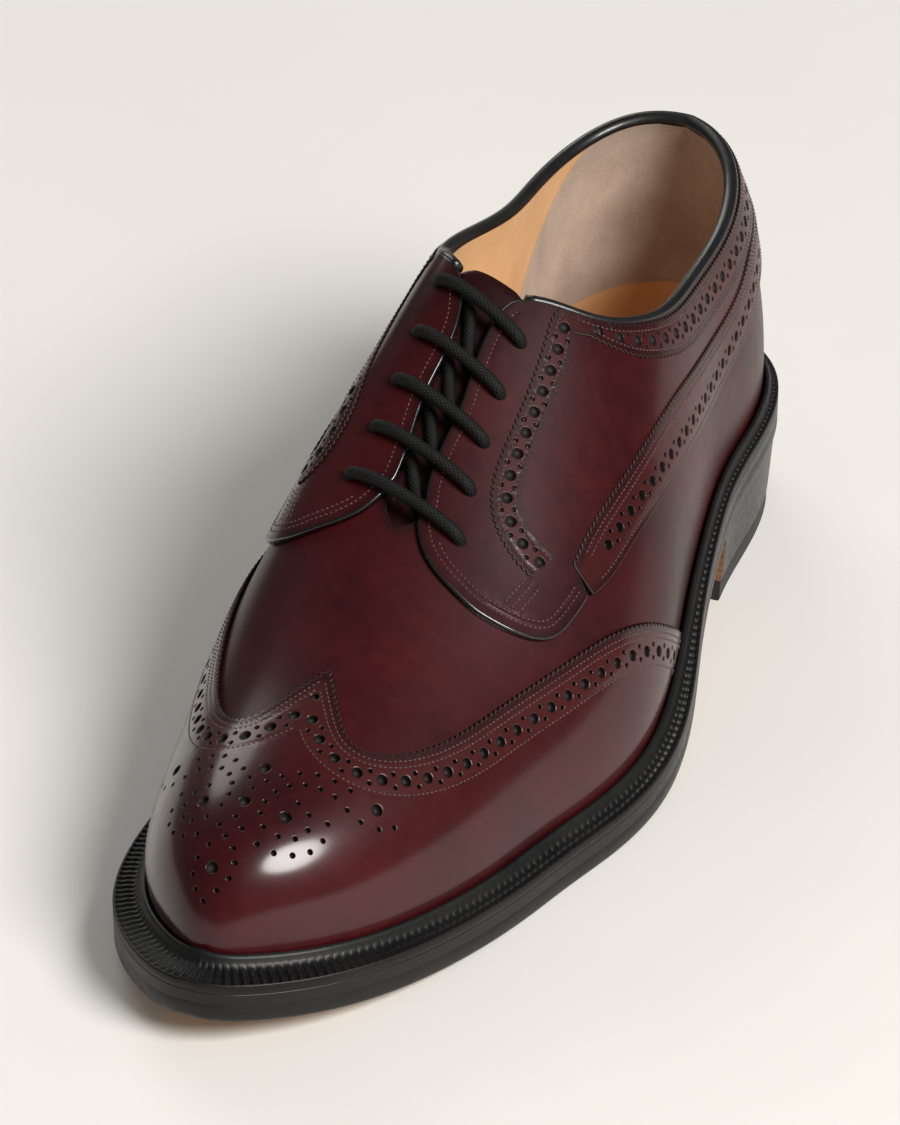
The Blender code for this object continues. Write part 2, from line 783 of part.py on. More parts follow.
WELD = 0.02
LIP_CLEAR = STORM_LIP + 0.4
BINDING_FRONT = 128.0
TONGUE = [(120.5, 7.0), (122.0, 12.5), (125.0, 16.5), (131.0, 18.5)]
TONGUE += [(station, 19.0) for station in (140.0, 150.0, 160.0, 170.0, 180.0, 190.0, 197.0)]
RIM_AT = columns(RIM)
STRAP_AT = columns(STRAP)

LEATHER = (0.045, 0.012, 0.013)
BROWN = (0.06, 0.02, 0.018)
BLACK = (0.012, 0.012, 0.013)
TAN = (0.5, 0.28, 0.13)
SOLE_SIDE = (0.02, 0.019, 0.019)


def main():
    """Clear the scene and build every piece of the shoe."""
    for item in list(bpy.data.objects):
        bpy.data.objects.remove(item)
    bpy.context.scene.unit_settings.system = "METRIC"
    shoe = bpy.data.collections.new("brogue")
    bpy.context.scene.collection.children.link(shoe)
    items = [
        build_sole_layer("outsole", tread, lambda t: tread(t) + OUTSOLE, 0.0, SOLE_SIDE),
        build_sole_layer("midsole", lambda t: tread(t) + OUTSOLE + CLEARANCE, sole_top, 0.0, SOLE_SIDE),
        build_welt(),
        build_heel("heel_top_piece", lambda t: 0.0, lambda t: TOP_PIECE, HEEL_TAPER, 0.75 * HEEL_TAPER, BLACK),
        build_heel(
            "heel_stack",
            lambda t: TOP_PIECE + CLEARANCE,
            lambda t: tread(t) - CLEARANCE,
            0.75 * HEEL_TAPER,
            0.0,
            SOLE_SIDE,
        ),
        build_insole(),
        build_upper(),
        build_tongue(),
        build_wing_cap(),
        build_quarter("quarter_medial", MEDIAL),
        build_quarter("quarter_lateral", LATERAL),
        build_strap(),
        build_facing_band("facing_band_medial", MEDIAL),
        build_facing_band("facing_band_lateral", LATERAL),
        build_collar_band("collar_band_medial", MEDIAL),
        build_collar_band("collar_band_lateral", LATERAL),
        build_binding(),
    ]
    items += [build_lace(i + 1, eyelet) for i, eyelet in enumerate(EYELETS)]
    settle(items)


if __name__ == "__main__":
    main()
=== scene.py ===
"""Looks of the wing-tip derby brogue: punched and stitched leather, storm welt, sole, lining and lace.

The leather is laid out in millimetres on the shape of the last, in the frame's own axes: the toe points
to -Y and the outer, lateral side is +X. It is scaled to metres when a mesh is made.
"""

from __future__ import annotations

import json
import logging
import math
from dataclasses import dataclass, field
from enum import Enum
from typing import Any, Callable, NamedTuple, Sequence, Union

import bpy
import numpy as np
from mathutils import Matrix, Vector
from mathutils.geometry import delaunay_2d_cdt
from mathutils.kdtree import KDTree

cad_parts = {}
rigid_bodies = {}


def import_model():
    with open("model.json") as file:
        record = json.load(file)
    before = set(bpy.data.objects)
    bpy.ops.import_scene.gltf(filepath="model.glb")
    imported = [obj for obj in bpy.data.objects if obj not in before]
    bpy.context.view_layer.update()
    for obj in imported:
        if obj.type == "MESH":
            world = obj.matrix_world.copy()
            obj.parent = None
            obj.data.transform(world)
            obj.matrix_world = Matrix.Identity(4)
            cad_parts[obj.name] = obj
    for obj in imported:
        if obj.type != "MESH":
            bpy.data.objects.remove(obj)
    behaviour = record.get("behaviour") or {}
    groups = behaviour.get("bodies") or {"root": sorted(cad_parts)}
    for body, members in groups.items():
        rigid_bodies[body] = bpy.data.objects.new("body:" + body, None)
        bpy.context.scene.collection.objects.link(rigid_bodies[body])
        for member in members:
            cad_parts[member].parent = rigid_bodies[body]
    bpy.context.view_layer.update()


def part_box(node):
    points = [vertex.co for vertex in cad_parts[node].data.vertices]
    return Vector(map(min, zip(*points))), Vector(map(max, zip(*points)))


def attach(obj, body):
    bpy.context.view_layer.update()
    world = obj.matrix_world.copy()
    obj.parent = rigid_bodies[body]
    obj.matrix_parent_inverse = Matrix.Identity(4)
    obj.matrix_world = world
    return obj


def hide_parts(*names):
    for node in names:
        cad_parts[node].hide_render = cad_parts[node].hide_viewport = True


LOG = logging.getLogger("brogue")
Array = np.ndarray
Number = Union[float, Array]
Colour = tuple[float, float, float]
Material = bpy.types.Material
Object = bpy.types.Object
Socket = bpy.types.NodeSocket

MM = 0.001
BODY = "root"

# Driving sizes in millimetres; those that the part's source has too are the same, but for a thinner lace
LENGTH = 305.0
WELT_AT_HEEL = 4.5
WELT_AT_TOE = 10.0
FEATHER_HEEL = WELT_AT_HEEL
FEATHER_TOE = LENGTH - WELT_AT_TOE
CLEARANCE = 0.3
OUTSOLE = 4.6
MIDSOLE = 3.0
STORM_LIP = 5.2
INSOLE = 2.4
HEEL_BREAST = 80.0
TOP_PIECE = 6.0
HEEL_INSET = 0.6
HEEL_TAPER = 1.6
UPPER_WALL = 2.0
TONGUE_DROP = 3.0
TONGUE_WALL = 2.0
THROAT_STATION = 190.0
BINDING_FRONT = 128.0
LACE_RADIUS = 1.65
COLLAR_BAND_WIDTH = 0.078
MEDIAL_FLAP_SETBACK = 3.0

# Heights of the leather layers' outer faces above the last
CAP_TOP = 1.35
QUARTER_TOP = 1.75
STRAP_TOP = 2.30
STRAP_FOOT_TOP = 1.45
BAND_TOP = 2.25
LAYER_FOOT = 0.05

# Height of a triangle of side 1, for the even grain of a sheet's vertices
TRIANGLE_HEIGHT = 0.866

MEDIAL, LATERAL = -1, 1
SIDE_WORDS = {MEDIAL: "medial", LATERAL: "lateral"}


class Section(NamedTuple):
    """One section of the last: its wall feet, its crown, and how the crown falls to the outer side."""

    station: float
    medial: float
    lateral: float
    ridge_station: float
    ridge_x: float
    ridge_height: float
    tilt: float


class Fullness(NamedTuple):
    """How full a wall is: swell pushes it out, stand keeps its foot upright, crown squares its top."""

    station: float
    swell: float
    stand: float
    crown: float


class Tread(NamedTuple):
    """Height of the outsole's underside and the welt's reach on each side."""

    station: float
    rise: float
    medial_welt: float
    lateral_welt: float


class Rim(NamedTuple):
    """Share of the section at the upper's top edge, on each side."""

    station: float
    medial: float
    lateral: float


class Wing(NamedTuple):
    """Back edge of the wing cap: rise 0 is at the storm lip, 1 at the ridge."""

    rise: float
    station: float


class Strap(NamedTuple):
    """Lower and upper edge of the heel strap."""

    station: float
    low: float
    high: float


class Band(NamedTuple):
    """Front and back line of the punched band beside the lacing."""

    front_station: float
    front_medial: float
    front_lateral: float
    back_station: float
    back_medial: float
    back_lateral: float


class Eyelet(NamedTuple):
    """Place of an eyelet: station, and distance from the lacing's centre line."""

    station: float
    reach: float

    def on(self, side: int) -> Eyelet:
        """The eyelet of one side; the medial row sits further back and closer in."""
        if side == LATERAL:
            return Eyelet(self.station + 1.9, self.reach - 0.9)
        return Eyelet(self.station - 2.6, self.reach - 2.6)


class Punch(NamedTuple):
    """One hole of the toe pattern, or a pair of them either side of the ridge."""

    station: float
    aside: float
    large: bool


def rows_of(kind: type, *values: tuple[float, ...]) -> list[Any]:
    """Rows of a table, all of one kind."""
    return [kind(*row) for row in values]


LAST = rows_of(
    Section,
    (FEATHER_HEEL, 0.0, 0.0, 60.0, 0.0, 130.0, 0.0), (9.0, -14.0, 14.0, 60.5, 0.0, 130.0, 0.0),
    (18.0, -22.5, 23.0, 62.0, -0.3, 130.0, 0.0), (32.0, -28.0, 29.0, 66.0, -0.8, 130.0, 0.02),
    (52.0, -29.5, 32.0, 74.0, -1.8, 129.5, 0.08), (75.0, -27.5, 33.5, 87.0, -3.4, 128.5, 0.18),
    (98.0, -24.5, 37.0, 103.0, -5.2, 124.5, 0.30), (124.0, -23.5, 42.0, 124.0, -6.8, 116.0, 0.38),
    (146.0, -28.5, 47.0, 146.0, -7.8, 103.0, 0.37), (170.0, -37.5, 49.5, 170.0, -7.8, 87.5, 0.29),
    (191.0, -42.5, 46.5, 191.0, -7.6, 74.5, 0.21), (210.0, -43.5, 41.0, 210.0, -7.3, 65.0, 0.13),
    (230.0, -42.5, 35.5, 230.0, -7.0, 57.0, 0.05), (250.0, -40.5, 28.5, 250.0, -7.2, 51.5, 0.0),
    (267.0, -36.0, 20.5, 267.0, -7.7, 47.5, 0.0), (280.0, -29.0, 11.5, 280.0, -8.3, 43.0, 0.0),
    (289.5, -20.0, 1.5, 289.5, -8.8, 35.0, 0.0),
    (FEATHER_TOE, -9.0, -9.0, FEATHER_TOE, -9.0, 18.3, 0.0),
)
MEDIAL_WALL = rows_of(
    Fullness,
    (FEATHER_HEEL, 8.5, 0.47, 0.84), (18.0, 8.5, 0.47, 0.92), (52.0, 6.5, 0.47, 0.90),
    (75.0, 6.5, 0.49, 0.92), (98.0, 10.5, 0.53, 1.20), (124.0, 14.0, 0.60, 1.52),
    (146.0, 13.0, 0.62, 1.36), (170.0, 13.6, 0.59, 1.05), (191.0, 15.5, 0.56, 0.88),
    (210.0, 15.0, 0.55, 0.77), (230.0, 11.5, 0.56, 0.67), (250.0, 7.2, 0.58, 0.61),
    (280.0, 3.0, 0.58, 0.57), (FEATHER_TOE, 0.0, 0.5523, 0.5523),
)
LATERAL_WALL = rows_of(
    Fullness,
    (FEATHER_HEEL, 8.5, 0.47, 0.84), (18.0, 4.5, 0.47, 0.58), (52.0, 3.5, 0.46, 0.48),
    (75.0, 3.5, 0.45, 0.51), (98.0, 4.5, 0.45, 0.57), (124.0, 6.0, 0.45, 0.60),
    (146.0, 6.0, 0.45, 0.58), (170.0, 5.0, 0.46, 0.53), (191.0, 4.0, 0.48, 0.51),
    (210.0, 3.5, 0.51, 0.52), (230.0, 3.5, 0.55, 0.55), (250.0, 3.5, 0.58, 0.57),
    (280.0, 2.2, 0.58, 0.57), (FEATHER_TOE, 0.0, 0.5523, 0.5523),
)
SOLE = rows_of(
    Tread,
    (FEATHER_HEEL, 24.2, WELT_AT_HEEL, WELT_AT_HEEL), (40.0, 23.6, 4.5, 4.5), (75.0, 23.0, 4.2, 4.5),
    (100.0, 19.6, 4.0, 4.8), (125.0, 12.4, 4.6, 5.6), (150.0, 5.4, 6.4, 6.8), (175.0, 1.0, 7.6, 7.4),
    (195.0, 0.0, 8.0, 7.6), (222.0, 0.0, 8.2, 7.6), (250.0, 1.4, 8.6, 8.0), (275.0, 4.6, 9.4, 9.0),
    (FEATHER_TOE, 9.0, WELT_AT_TOE, WELT_AT_TOE),
)
RIM = rows_of(
    Rim,
    (FEATHER_HEEL, 0.520, 0.520), (12.0, 0.512, 0.510), (18.0, 0.500, 0.498), (32.0, 0.480, 0.472),
    (52.0, 0.478, 0.455), (75.0, 0.500, 0.465), (98.0, 0.562, 0.530), (112.0, 0.625, 0.618),
    (118.0, 0.662, 0.672), (125.0, 0.740, 0.775), (131.0, 0.862, 0.900), (137.0, 0.930, 0.945),
    (160.0, 0.950, 0.948), (180.0, 0.955, 0.945), (187.0, 0.965, 0.952), (THROAT_STATION, 1.0, 1.0),
)
WING = rows_of(
    Wing,
    (0.0, 135.0), (0.08, 142.0), (0.16, 150.0), (0.24, 158.5), (0.31, 168.5), (0.37, 182.5),
    (0.42, 201.0), (0.47, 219.0), (0.53, 232.0), (0.62, 241.5), (0.72, 245.5), (0.83, 243.5),
    (0.90, 238.5), (0.95, 234.0), (1.0, 229.0),
)
FLAP_FRONT = [
    (173.6, 0.485), (181.0, 0.488), (187.0, 0.500), (191.5, 0.540), (194.6, 0.602), (196.2, 0.660),
    (196.8, 0.711), (196.2, 0.775), (194.6, 0.842), (191.5, 0.900), (187.0, 0.938),
]
STRAP = rows_of(
    Strap,
    (FEATHER_HEEL, 0.322, 0.420), (30.0, 0.284, 0.380), (60.0, 0.232, 0.330), (86.0, 0.240, 0.354),
    (112.0, 0.304, 0.428), (134.0, 0.380, 0.494), (152.0, 0.434, 0.540), (165.0, 0.456, 0.555),
    (170.5, 0.470, 0.552),
)
FACING_BAND = rows_of(
    Band,
    (131.5, 0.662, 0.826, 135.5, 0.580, 0.755), (140.0, 0.655, 0.819, 143.0, 0.578, 0.757),
    (152.0, 0.680, 0.817, 153.0, 0.602, 0.760), (161.5, 0.715, 0.817, 161.0, 0.628, 0.756),
    (169.0, 0.733, 0.811, 166.5, 0.644, 0.747), (174.5, 0.722, 0.789, 170.5, 0.645, 0.728),
    (178.5, 0.695, 0.747, 173.0, 0.632, 0.693), (181.0, 0.650, 0.682, 173.8, 0.606, 0.646),
    (181.3, 0.606, 0.622, 173.5, 0.580, 0.597),
)
EYELETS = rows_of(
    Eyelet,
    (183.8, 16.6), (172.8, 14.8), (161.8, 13.8), (150.4, 13.3), (138.0, 13.3),
)
TONGUE = [(120.5, 7.0), (122.0, 12.5), (125.0, 16.5), (131.0, 18.5), (140.0, 19.0), (197.0, 19.0)]

# Toe pattern: a double ring round each side hole, arcs over the top hole and a loop round the bottom one
TOE_LARGE = [
    (260.8, 0.0), (271.2, 0.0), (286.5, 0.0), (271.2, 10.6), (255.2, 26.4),
]
TOE_SMALL = [
    (267.2, 0.0), (275.6, 0.0), (280.4, 0.0), (291.2, 0.0), (264.3, 2.3), (261.8, 5.0), (259.2, 8.4),
    (257.5, 12.2), (256.6, 16.1), (256.2, 20.0), (263.6, 7.8), (261.5, 10.9), (260.4, 14.3),
    (260.0, 17.8), (260.6, 21.2), (260.3, 24.6), (258.0, 28.2), (254.6, 30.6), (266.4, 5.6),
    (269.8, 4.7), (273.0, 5.1), (275.8, 7.2), (275.9, 11.0), (274.0, 14.4), (270.6, 16.0),
    (267.6, 14.8), (266.6, 11.6), (279.7, 7.6), (279.2, 11.6), (277.0, 15.3), (273.8, 18.2),
    (270.0, 19.6), (266.4, 19.0), (278.0, 2.9), (282.4, 3.1), (284.7, 4.7), (287.3, 4.5), (289.6, 2.6),
]
TOE_PATTERN = [Punch(*row, True) for row in TOE_LARGE] + [Punch(*row, False) for row in TOE_SMALL]


class Spline:
    """Natural cubic spline through rows of values, evaluated on whole arrays."""

    def __init__(self, knots: Sequence[float], values: Sequence[float]) -> None:
        """Solve for the bend at each knot.

        Args:
            knots: places of the rows, rising.
            values: value of each row.
        """
        self.x = np.asarray(knots, float)
        self.y = np.asarray(values, float)
        count = len(self.x)
        step = np.diff(self.x)
        slope = np.diff(self.y) / step
        matrix = np.eye(count)
        right = np.zeros(count)
        for i in range(1, count - 1):
            matrix[i, i - 1 : i + 2] = step[i - 1], 2 * (step[i - 1] + step[i]), step[i]
            right[i] = 6 * (slope[i] - slope[i - 1])
        self.bend = np.linalg.solve(matrix, right)

    def __call__(self, x: Number) -> Array:
        """Value of the curve at each x."""
        x = np.asarray(x, float)
        i = np.clip(np.searchsorted(self.x, x) - 1, 0, len(self.x) - 2)
        step = self.x[i + 1] - self.x[i]
        a = (self.x[i + 1] - x) / step
        b = (x - self.x[i]) / step
        curve = ((a**3 - a) * self.bend[i] + (b**3 - b) * self.bend[i + 1]) * step**2 / 6
        return a * self.y[i] + b * self.y[i + 1] + curve


def listed(value: Number) -> Array:
    """A number or an array as an array of one row or more."""
    return np.atleast_1d(np.asarray(value, float))


def unit(vectors: Array) -> Array:
    """Vectors scaled to length one."""
    size = np.linalg.norm(vectors, axis=-1, keepdims=True)
    return vectors / np.maximum(size, 1e-12)


def ease(value: Number, low: float, high: float) -> Array:
    """Smooth step from 0 at low to 1 at high."""
    share = np.clip((np.asarray(value, float) - low) / (high - low), 0.0, 1.0)
    return share * share * (3 - 2 * share)


def run_along(points: Array) -> Array:
    """Distance run along a line of points, from 0 at its start."""
    return np.concatenate([[0.0], np.cumsum(np.linalg.norm(np.diff(points, axis=0), axis=1))])


def side_of(signed: Array) -> Array:
    """Lateral where a signed value is 0 or more, medial where it is less."""
    return np.where(signed >= 0, LATERAL, MEDIAL)


def turn_of(station: Number) -> Array:
    """Angle from 0 at the heel to pi at the toe for a station along the shoe."""
    share = (np.asarray(station, float) - FEATHER_HEEL) / (FEATHER_TOE - FEATHER_HEEL)
    return np.arccos(1 - 2 * np.clip(share, 0.0, 1.0))


def station_of(turn: Number) -> Array:
    """Station of an angle along the last."""
    return FEATHER_HEEL + (FEATHER_TOE - FEATHER_HEEL) * (1 - np.cos(turn)) / 2


def columns(rows: Sequence[Any]) -> dict[str, Spline]:
    """A spline over the turn angle for each column of a table with stations."""
    turns = [float(turn_of(row.station)) for row in rows]
    return {name: Spline(turns, [getattr(row, name) for row in rows]) for name in rows[0]._fields}


class Last:
    """Shape that the shoe is made on, from the part's own tables, but with the facings drawn closer in."""

    def __init__(self) -> None:
        """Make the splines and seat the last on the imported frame."""
        self.section = columns(LAST)
        self.sole = columns(SOLE)
        self.walls = {MEDIAL: columns(MEDIAL_WALL), LATERAL: columns(LATERAL_WALL)}
        self.rims = columns(RIM)
        self.straps = columns(STRAP)
        self.shift = np.zeros(3)
        outline = self.sole_edge(LATERAL, np.linspace(0.0, math.pi, 41))
        high = np.array(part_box("outsole")[1]) / MM
        self.shift = np.array([outline[:, 0].max() - high[0], outline[:, 1].max() - high[1], 0.0])

    def pick(self, side: Number, table: dict[int, dict[str, Spline]], name: str, turn: Array) -> Array:
        """Value of a column of the table of each point's own side."""
        return np.where(np.asarray(side) > 0, table[LATERAL][name](turn), table[MEDIAL][name](turn))

    def by_side(self, side: Number, table: dict[str, Spline], turn: Array, suffix: str = "") -> Array:
        """Value of the medial or lateral column of a table."""
        outer, inner = table["lateral" + suffix](turn), table["medial" + suffix](turn)
        return np.where(np.asarray(side) > 0, outer, inner)

    def tread(self, turn: Array) -> Array:
        """Height of the outsole's underside."""
        return np.maximum(0.0, self.sole["rise"](turn))

    def sole_top(self, turn: Array) -> Array:
        """Height of the midsole's top face."""
        return self.tread(turn) + OUTSOLE + CLEARANCE + MIDSOLE

    def foot_height(self, turn: Array) -> Array:
        """Height of the foot of the upper's wall."""
        return self.sole_top(turn) + CLEARANCE

    def foot(self, side: Number, turn: Number) -> Array:
        """Foot of the upper's wall, where it meets the sole."""
        turn = listed(turn)
        x = self.by_side(side, self.section, turn)
        y = LENGTH / 2 - station_of(turn)
        return np.stack([x, y, self.foot_height(turn)], axis=-1) - self.shift

    def ridge(self, turn: Number) -> Array:
        """Crown of the last."""
        turn = listed(turn)
        height = np.maximum(self.section["ridge_height"](turn), self.foot_height(turn))
        y = LENGTH / 2 - self.section["ridge_station"](turn)
        return np.stack([self.section["ridge_x"](turn), y, height], axis=-1) - self.shift

    def point(self, side: Number, turn: Number, share: Number) -> Array:
        """Points on the last's surface.

        Args:
            side: MEDIAL or LATERAL for each point.
            turn: angle along the shoe, 0 at the heel and pi at the toe.
            share: 0 at the foot of the wall, 1 at the ridge.

        Returns:
            Points in millimetres in the frame.
        """
        turn, share = np.broadcast_arrays(listed(turn), np.asarray(share, float))
        side = np.broadcast_to(np.asarray(side), turn.shape)
        low, high = self.foot(side, turn), self.ridge(turn)
        out = low - high
        out[:, 2] = 0.0
        reach = np.linalg.norm(out, axis=1)
        out = unit(out)
        rise = high[:, 2] - low[:, 2]
        swell, stand, crown = (self.pick(side, self.walls, n, turn) for n in ("swell", "stand", "crown"))
        lower = low + swell[:, None] * out
        lower[:, 2] += stand * rise
        upper = high + (crown * reach)[:, None] * out
        upper[:, 2] -= self.section["tilt"](turn) * (upper[:, 0] - high[:, 0])
        share = share[:, None]
        keep = 1 - share
        return keep**3 * low + 3 * keep**2 * share * lower + 3 * keep * share**2 * upper + share**3 * high

    def plan_normal(self, side: Number, turn: Number) -> Array:
        """Outward direction of the foot line, seen from above."""
        turn = listed(turn)
        side = np.broadcast_to(np.asarray(side), turn.shape)
        step = 1e-3
        run = self.foot(side, turn + step) - self.foot(side, turn - step)
        normal = np.stack([-run[:, 1], run[:, 0], np.zeros(len(run))], axis=-1) * side[:, None]
        normal[turn <= step] = (0.0, 1.0, 0.0)
        normal[turn >= math.pi - step] = (0.0, -1.0, 0.0)
        return unit(normal)

    def welt_width(self, side: Number, turn: Array) -> Array:
        """How far the welt stands out from the foot of the wall."""
        return self.by_side(side, self.sole, turn, "_welt")

    def sole_edge(self, side: Number, turn: Number, inset: Number = 0.0) -> Array:
        """Points of the sole's outline, inset from the welt's outer edge."""
        turn = listed(turn)
        reach = self.welt_width(side, turn) - inset
        return self.foot(side, turn) + self.plan_normal(side, turn) * reach[:, None]

    def solve_share(
        self, side: Number, turn: Array, start: float, below: Callable[[Array], Array]
    ) -> Array:
        """Share of each section where a test turns false, by halving.

        Args:
            side: MEDIAL or LATERAL.
            turn: angles of the sections.
            start: lowest share that is tried.
            below: true for points that lie before the wanted one.

        Returns:
            The share for each section.
        """
        low, high = np.full(len(turn), start), np.ones(len(turn))
        for _ in range(32):
            middle = (low + high) / 2
            under = below(self.point(side, turn, middle))
            low, high = np.where(under, middle, low), np.where(under, high, middle)
        return high

    def share_at_rise(self, side: Number, turn: Number, rise: Number) -> Array:
        """Share of each section that stands a height above the foot of the wall."""
        turn = listed(turn)
        target = self.foot_height(turn) + rise
        return self.solve_share(side, turn, 0.0, lambda p: p[:, 2] < target)

    def share_at_reach(self, side: Number, turn: Number, reach: Number) -> Array:
        """Share of each section at a straight distance from the ridge."""
        turn = listed(turn)
        crown = self.ridge(turn)
        return self.solve_share(side, turn, 0.3, lambda p: np.linalg.norm(p - crown, axis=1) > reach)

    def rim(self, side: Number, turn: Number) -> Array:
        """Share at the upper's top edge."""
        turn = listed(turn)
        share = np.minimum(1.0, self.by_side(side, self.rims, turn))
        return np.where(station_of(turn) >= THROAT_STATION, 1.0, share)

    def strap_edges(self, side: Number, turn: Number) -> tuple[Array, Array]:
        """Lower and upper edge of the heel strap, kept below the collar band."""
        turn = listed(turn)
        low, high = self.straps["low"](turn), self.straps["high"](turn)
        top = np.minimum(high, self.rim(side, turn) - COLLAR_BAND_WIDTH - 0.020)
        return low + top - high, top


class Lay(Enum):
    """How a sheet is laid out flat: joined along the ridge, or joined round the heel."""

    OVER = "over"
    ROUND = "round"


class Skin:
    """The last's surface with two running coordinates, and the same surface laid out flat.

    Over the ridge the coordinates are the turn angle and how far down from the ridge, from -1 at the medial
    foot to 1 at the lateral foot. Round the heel they are the signed turn angle and the share.
    """

    STEP = 5e-4
    SLICES = 181

    def __init__(self, last: Last, lay: Lay) -> None:
        """Measure the surface once, for laying sheets out flat."""
        self.last, self.lay = last, lay
        self.turns = np.linspace(0.0, math.pi, self.SLICES)
        shares = np.linspace(0.0, 1.0, 41)
        grids = {}
        for side in (MEDIAL, LATERAL):
            flat = last.point(side, np.repeat(self.turns, len(shares)), np.tile(shares, self.SLICES))
            grids[side] = flat.reshape(self.SLICES, len(shares), 3)
        self.girths = {s: np.linalg.norm(np.diff(g, axis=1), axis=2).sum(axis=1) for s, g in grids.items()}
        middle = [np.linalg.norm(np.diff(g[:, 16], axis=0), axis=1) for g in grids.values()]
        self.length = np.concatenate([[0.0], np.cumsum((middle[0] + middle[1]) / 2)])

    def split(self, q: Array) -> tuple[Array, Array, Array]:
        """Side, turn and share of each pair of coordinates."""
        if self.lay is Lay.OVER:
            return side_of(q[:, 1]), q[:, 0], 1 - np.abs(q[:, 1])
        return side_of(q[:, 0]), np.abs(q[:, 0]), q[:, 1]

    def at(self, side: int, turn: Number, share: Number) -> Array:
        """Coordinates of a side, turn and share."""
        turn, share = np.broadcast_arrays(listed(turn), np.asarray(share, float))
        if self.lay is Lay.OVER:
            return np.stack([turn, side * (1 - share)], axis=-1)
        return np.stack([side * turn, share], axis=-1)

    def point(self, q: Array, height: Number = 0.0) -> Array:
        """Points at a height above the last."""
        base = self.last.point(*self.split(q))
        height = np.asarray(height, float)
        if height.ndim == 0 and height == 0.0:
            return base
        return base + self.normal(q) * (height[:, None] if height.ndim else height)

    def slopes(self, q: Array) -> tuple[Array, Array]:
        """How the surface runs along each coordinate."""
        steps = np.eye(2) * self.STEP
        ends = [self.point(q + sign * step) for step in steps for sign in (1, -1)]
        return (ends[0] - ends[1]) / (2 * self.STEP), (ends[2] - ends[3]) / (2 * self.STEP)

    def normal(self, q: Array) -> Array:
        """Outward normals."""
        q = q.copy()
        if self.lay is Lay.OVER:
            q[:, 0] = np.clip(q[:, 0], 0.0, math.pi - 0.03)
        first, second = self.slopes(q)
        normal = np.cross(first, second)
        return unit(normal if self.lay is Lay.OVER else -normal)

    def move(self, q: Array, vector: Array) -> Array:
        """Coordinates after a small step along the surface."""
        first, second = self.slopes(q)
        a, b, c = (np.sum(u * v, axis=1) for u, v in ((first, first), (first, second), (second, second)))
        d, e = np.sum(first * vector, axis=1), np.sum(second * vector, axis=1)
        det = np.maximum(a * c - b * b, 1e-9)
        return q + np.stack([(c * d - b * e) / det, (a * e - b * d) / det], axis=-1)

    def girth(self, side: Array, turn: Array) -> Array:
        """Length of each section from the foot of the wall to the ridge."""
        return np.where(side > 0, *(np.interp(turn, self.turns, self.girths[s]) for s in (LATERAL, MEDIAL)))

    def flat(self, q: Array) -> Array:
        """Places on the flat layout, anticlockwise as seen from outside."""
        side, turn, share = self.split(q)
        girth = self.girth(side, turn)
        length = np.interp(turn, self.turns, self.length)
        if self.lay is Lay.OVER:
            return np.stack([-q[:, 1] * girth, length], axis=-1)
        return np.stack([-side * length, share * girth], axis=-1)

    def unflat(self, places: Array) -> Array:
        """Coordinates of places on the flat layout."""
        side = np.where(places[:, 0] <= 0, LATERAL, MEDIAL)
        run = places[:, 1] if self.lay is Lay.OVER else np.abs(places[:, 0])
        turn = np.interp(run, self.length, self.turns)
        girth = self.girth(side, turn)
        if self.lay is Lay.OVER:
            return np.stack([turn, -places[:, 0] / girth], axis=-1)
        return np.stack([side * turn, places[:, 1] / girth], axis=-1)

    def resample(self, line: Array, step: float, closed: bool = False) -> Array:
        """The line with points at an even distance along the surface.

        Args:
            line: coordinates along the line.
            step: wanted distance in millimetres.
            closed: whether the line returns to its start.

        Returns:
            Coordinates; a closed line doesn't repeat its first point.
        """
        if closed:
            line = np.vstack([line, line[:1]])
        fine = np.vstack([line[:-1] + (line[1:] - line[:-1]) * k / 6 for k in range(6)])
        fine = fine.reshape(6, -1, 2).transpose(1, 0, 2).reshape(-1, 2)
        fine = np.vstack([fine, line[-1:]])
        run = run_along(self.point(fine))
        count = max(2, int(round(run[-1] / step)) + 1)
        places = np.linspace(0.0, run[-1], count)
        even = np.stack([np.interp(places, run, fine[:, k]) for k in range(2)], axis=-1)
        return even[:-1] if closed else even

    def aside(self, line: Array, distance: Number) -> Array:
        """The line moved sideways along the surface, to its left as seen from outside."""
        distance = np.broadcast_to(np.asarray(distance, float), (len(line),))
        steps = max(1, int(np.ceil(np.abs(distance).max() / 1.5)))
        for _ in range(steps):
            run = np.gradient(self.point(line), axis=0)
            left = unit(np.cross(self.normal(line), run))
            line = self.move(line, left * (distance / steps)[:, None])
        return line

    def ring(self, centre: Array, radius: float, sides: int) -> Array:
        """A round hole's edge on the surface, clockwise as seen from outside."""
        spot = np.asarray(centre, float)[None, :]
        first = unit(self.slopes(spot)[0])[0]
        second = np.cross(self.normal(spot)[0], first)
        angles = -2 * math.pi * np.arange(sides) / sides
        vectors = radius * (np.cos(angles)[:, None] * first + np.sin(angles)[:, None] * second)
        return self.move(np.repeat(spot, sides, axis=0), vectors)


def tree_of(points: Array) -> KDTree:
    """Search tree of points of two or three coordinates."""
    tree = KDTree(len(points))
    for i, point in enumerate(points):
        tree.insert((*point, 0.0) if len(point) == 2 else point, i)
    tree.balance()
    return tree


def distances(points: Array, tree: KDTree) -> Array:
    """Distance from each point to the nearest one in the tree."""
    return np.array([tree.find((*p, 0.0) if len(p) == 2 else p)[2] for p in points])


def inside(places: Array, loop: Array) -> Array:
    """Which places lie inside a flat closed loop."""
    result = np.zeros(len(places), bool)
    x, y = places[:, 0], places[:, 1]
    for (ax, ay), (bx, by) in zip(loop, np.roll(loop, -1, axis=0)):
        crosses = (ay > y) != (by > y)
        if ay != by:
            result ^= crosses & (x < ax + (y - ay) * (bx - ax) / (by - ay))
    return result


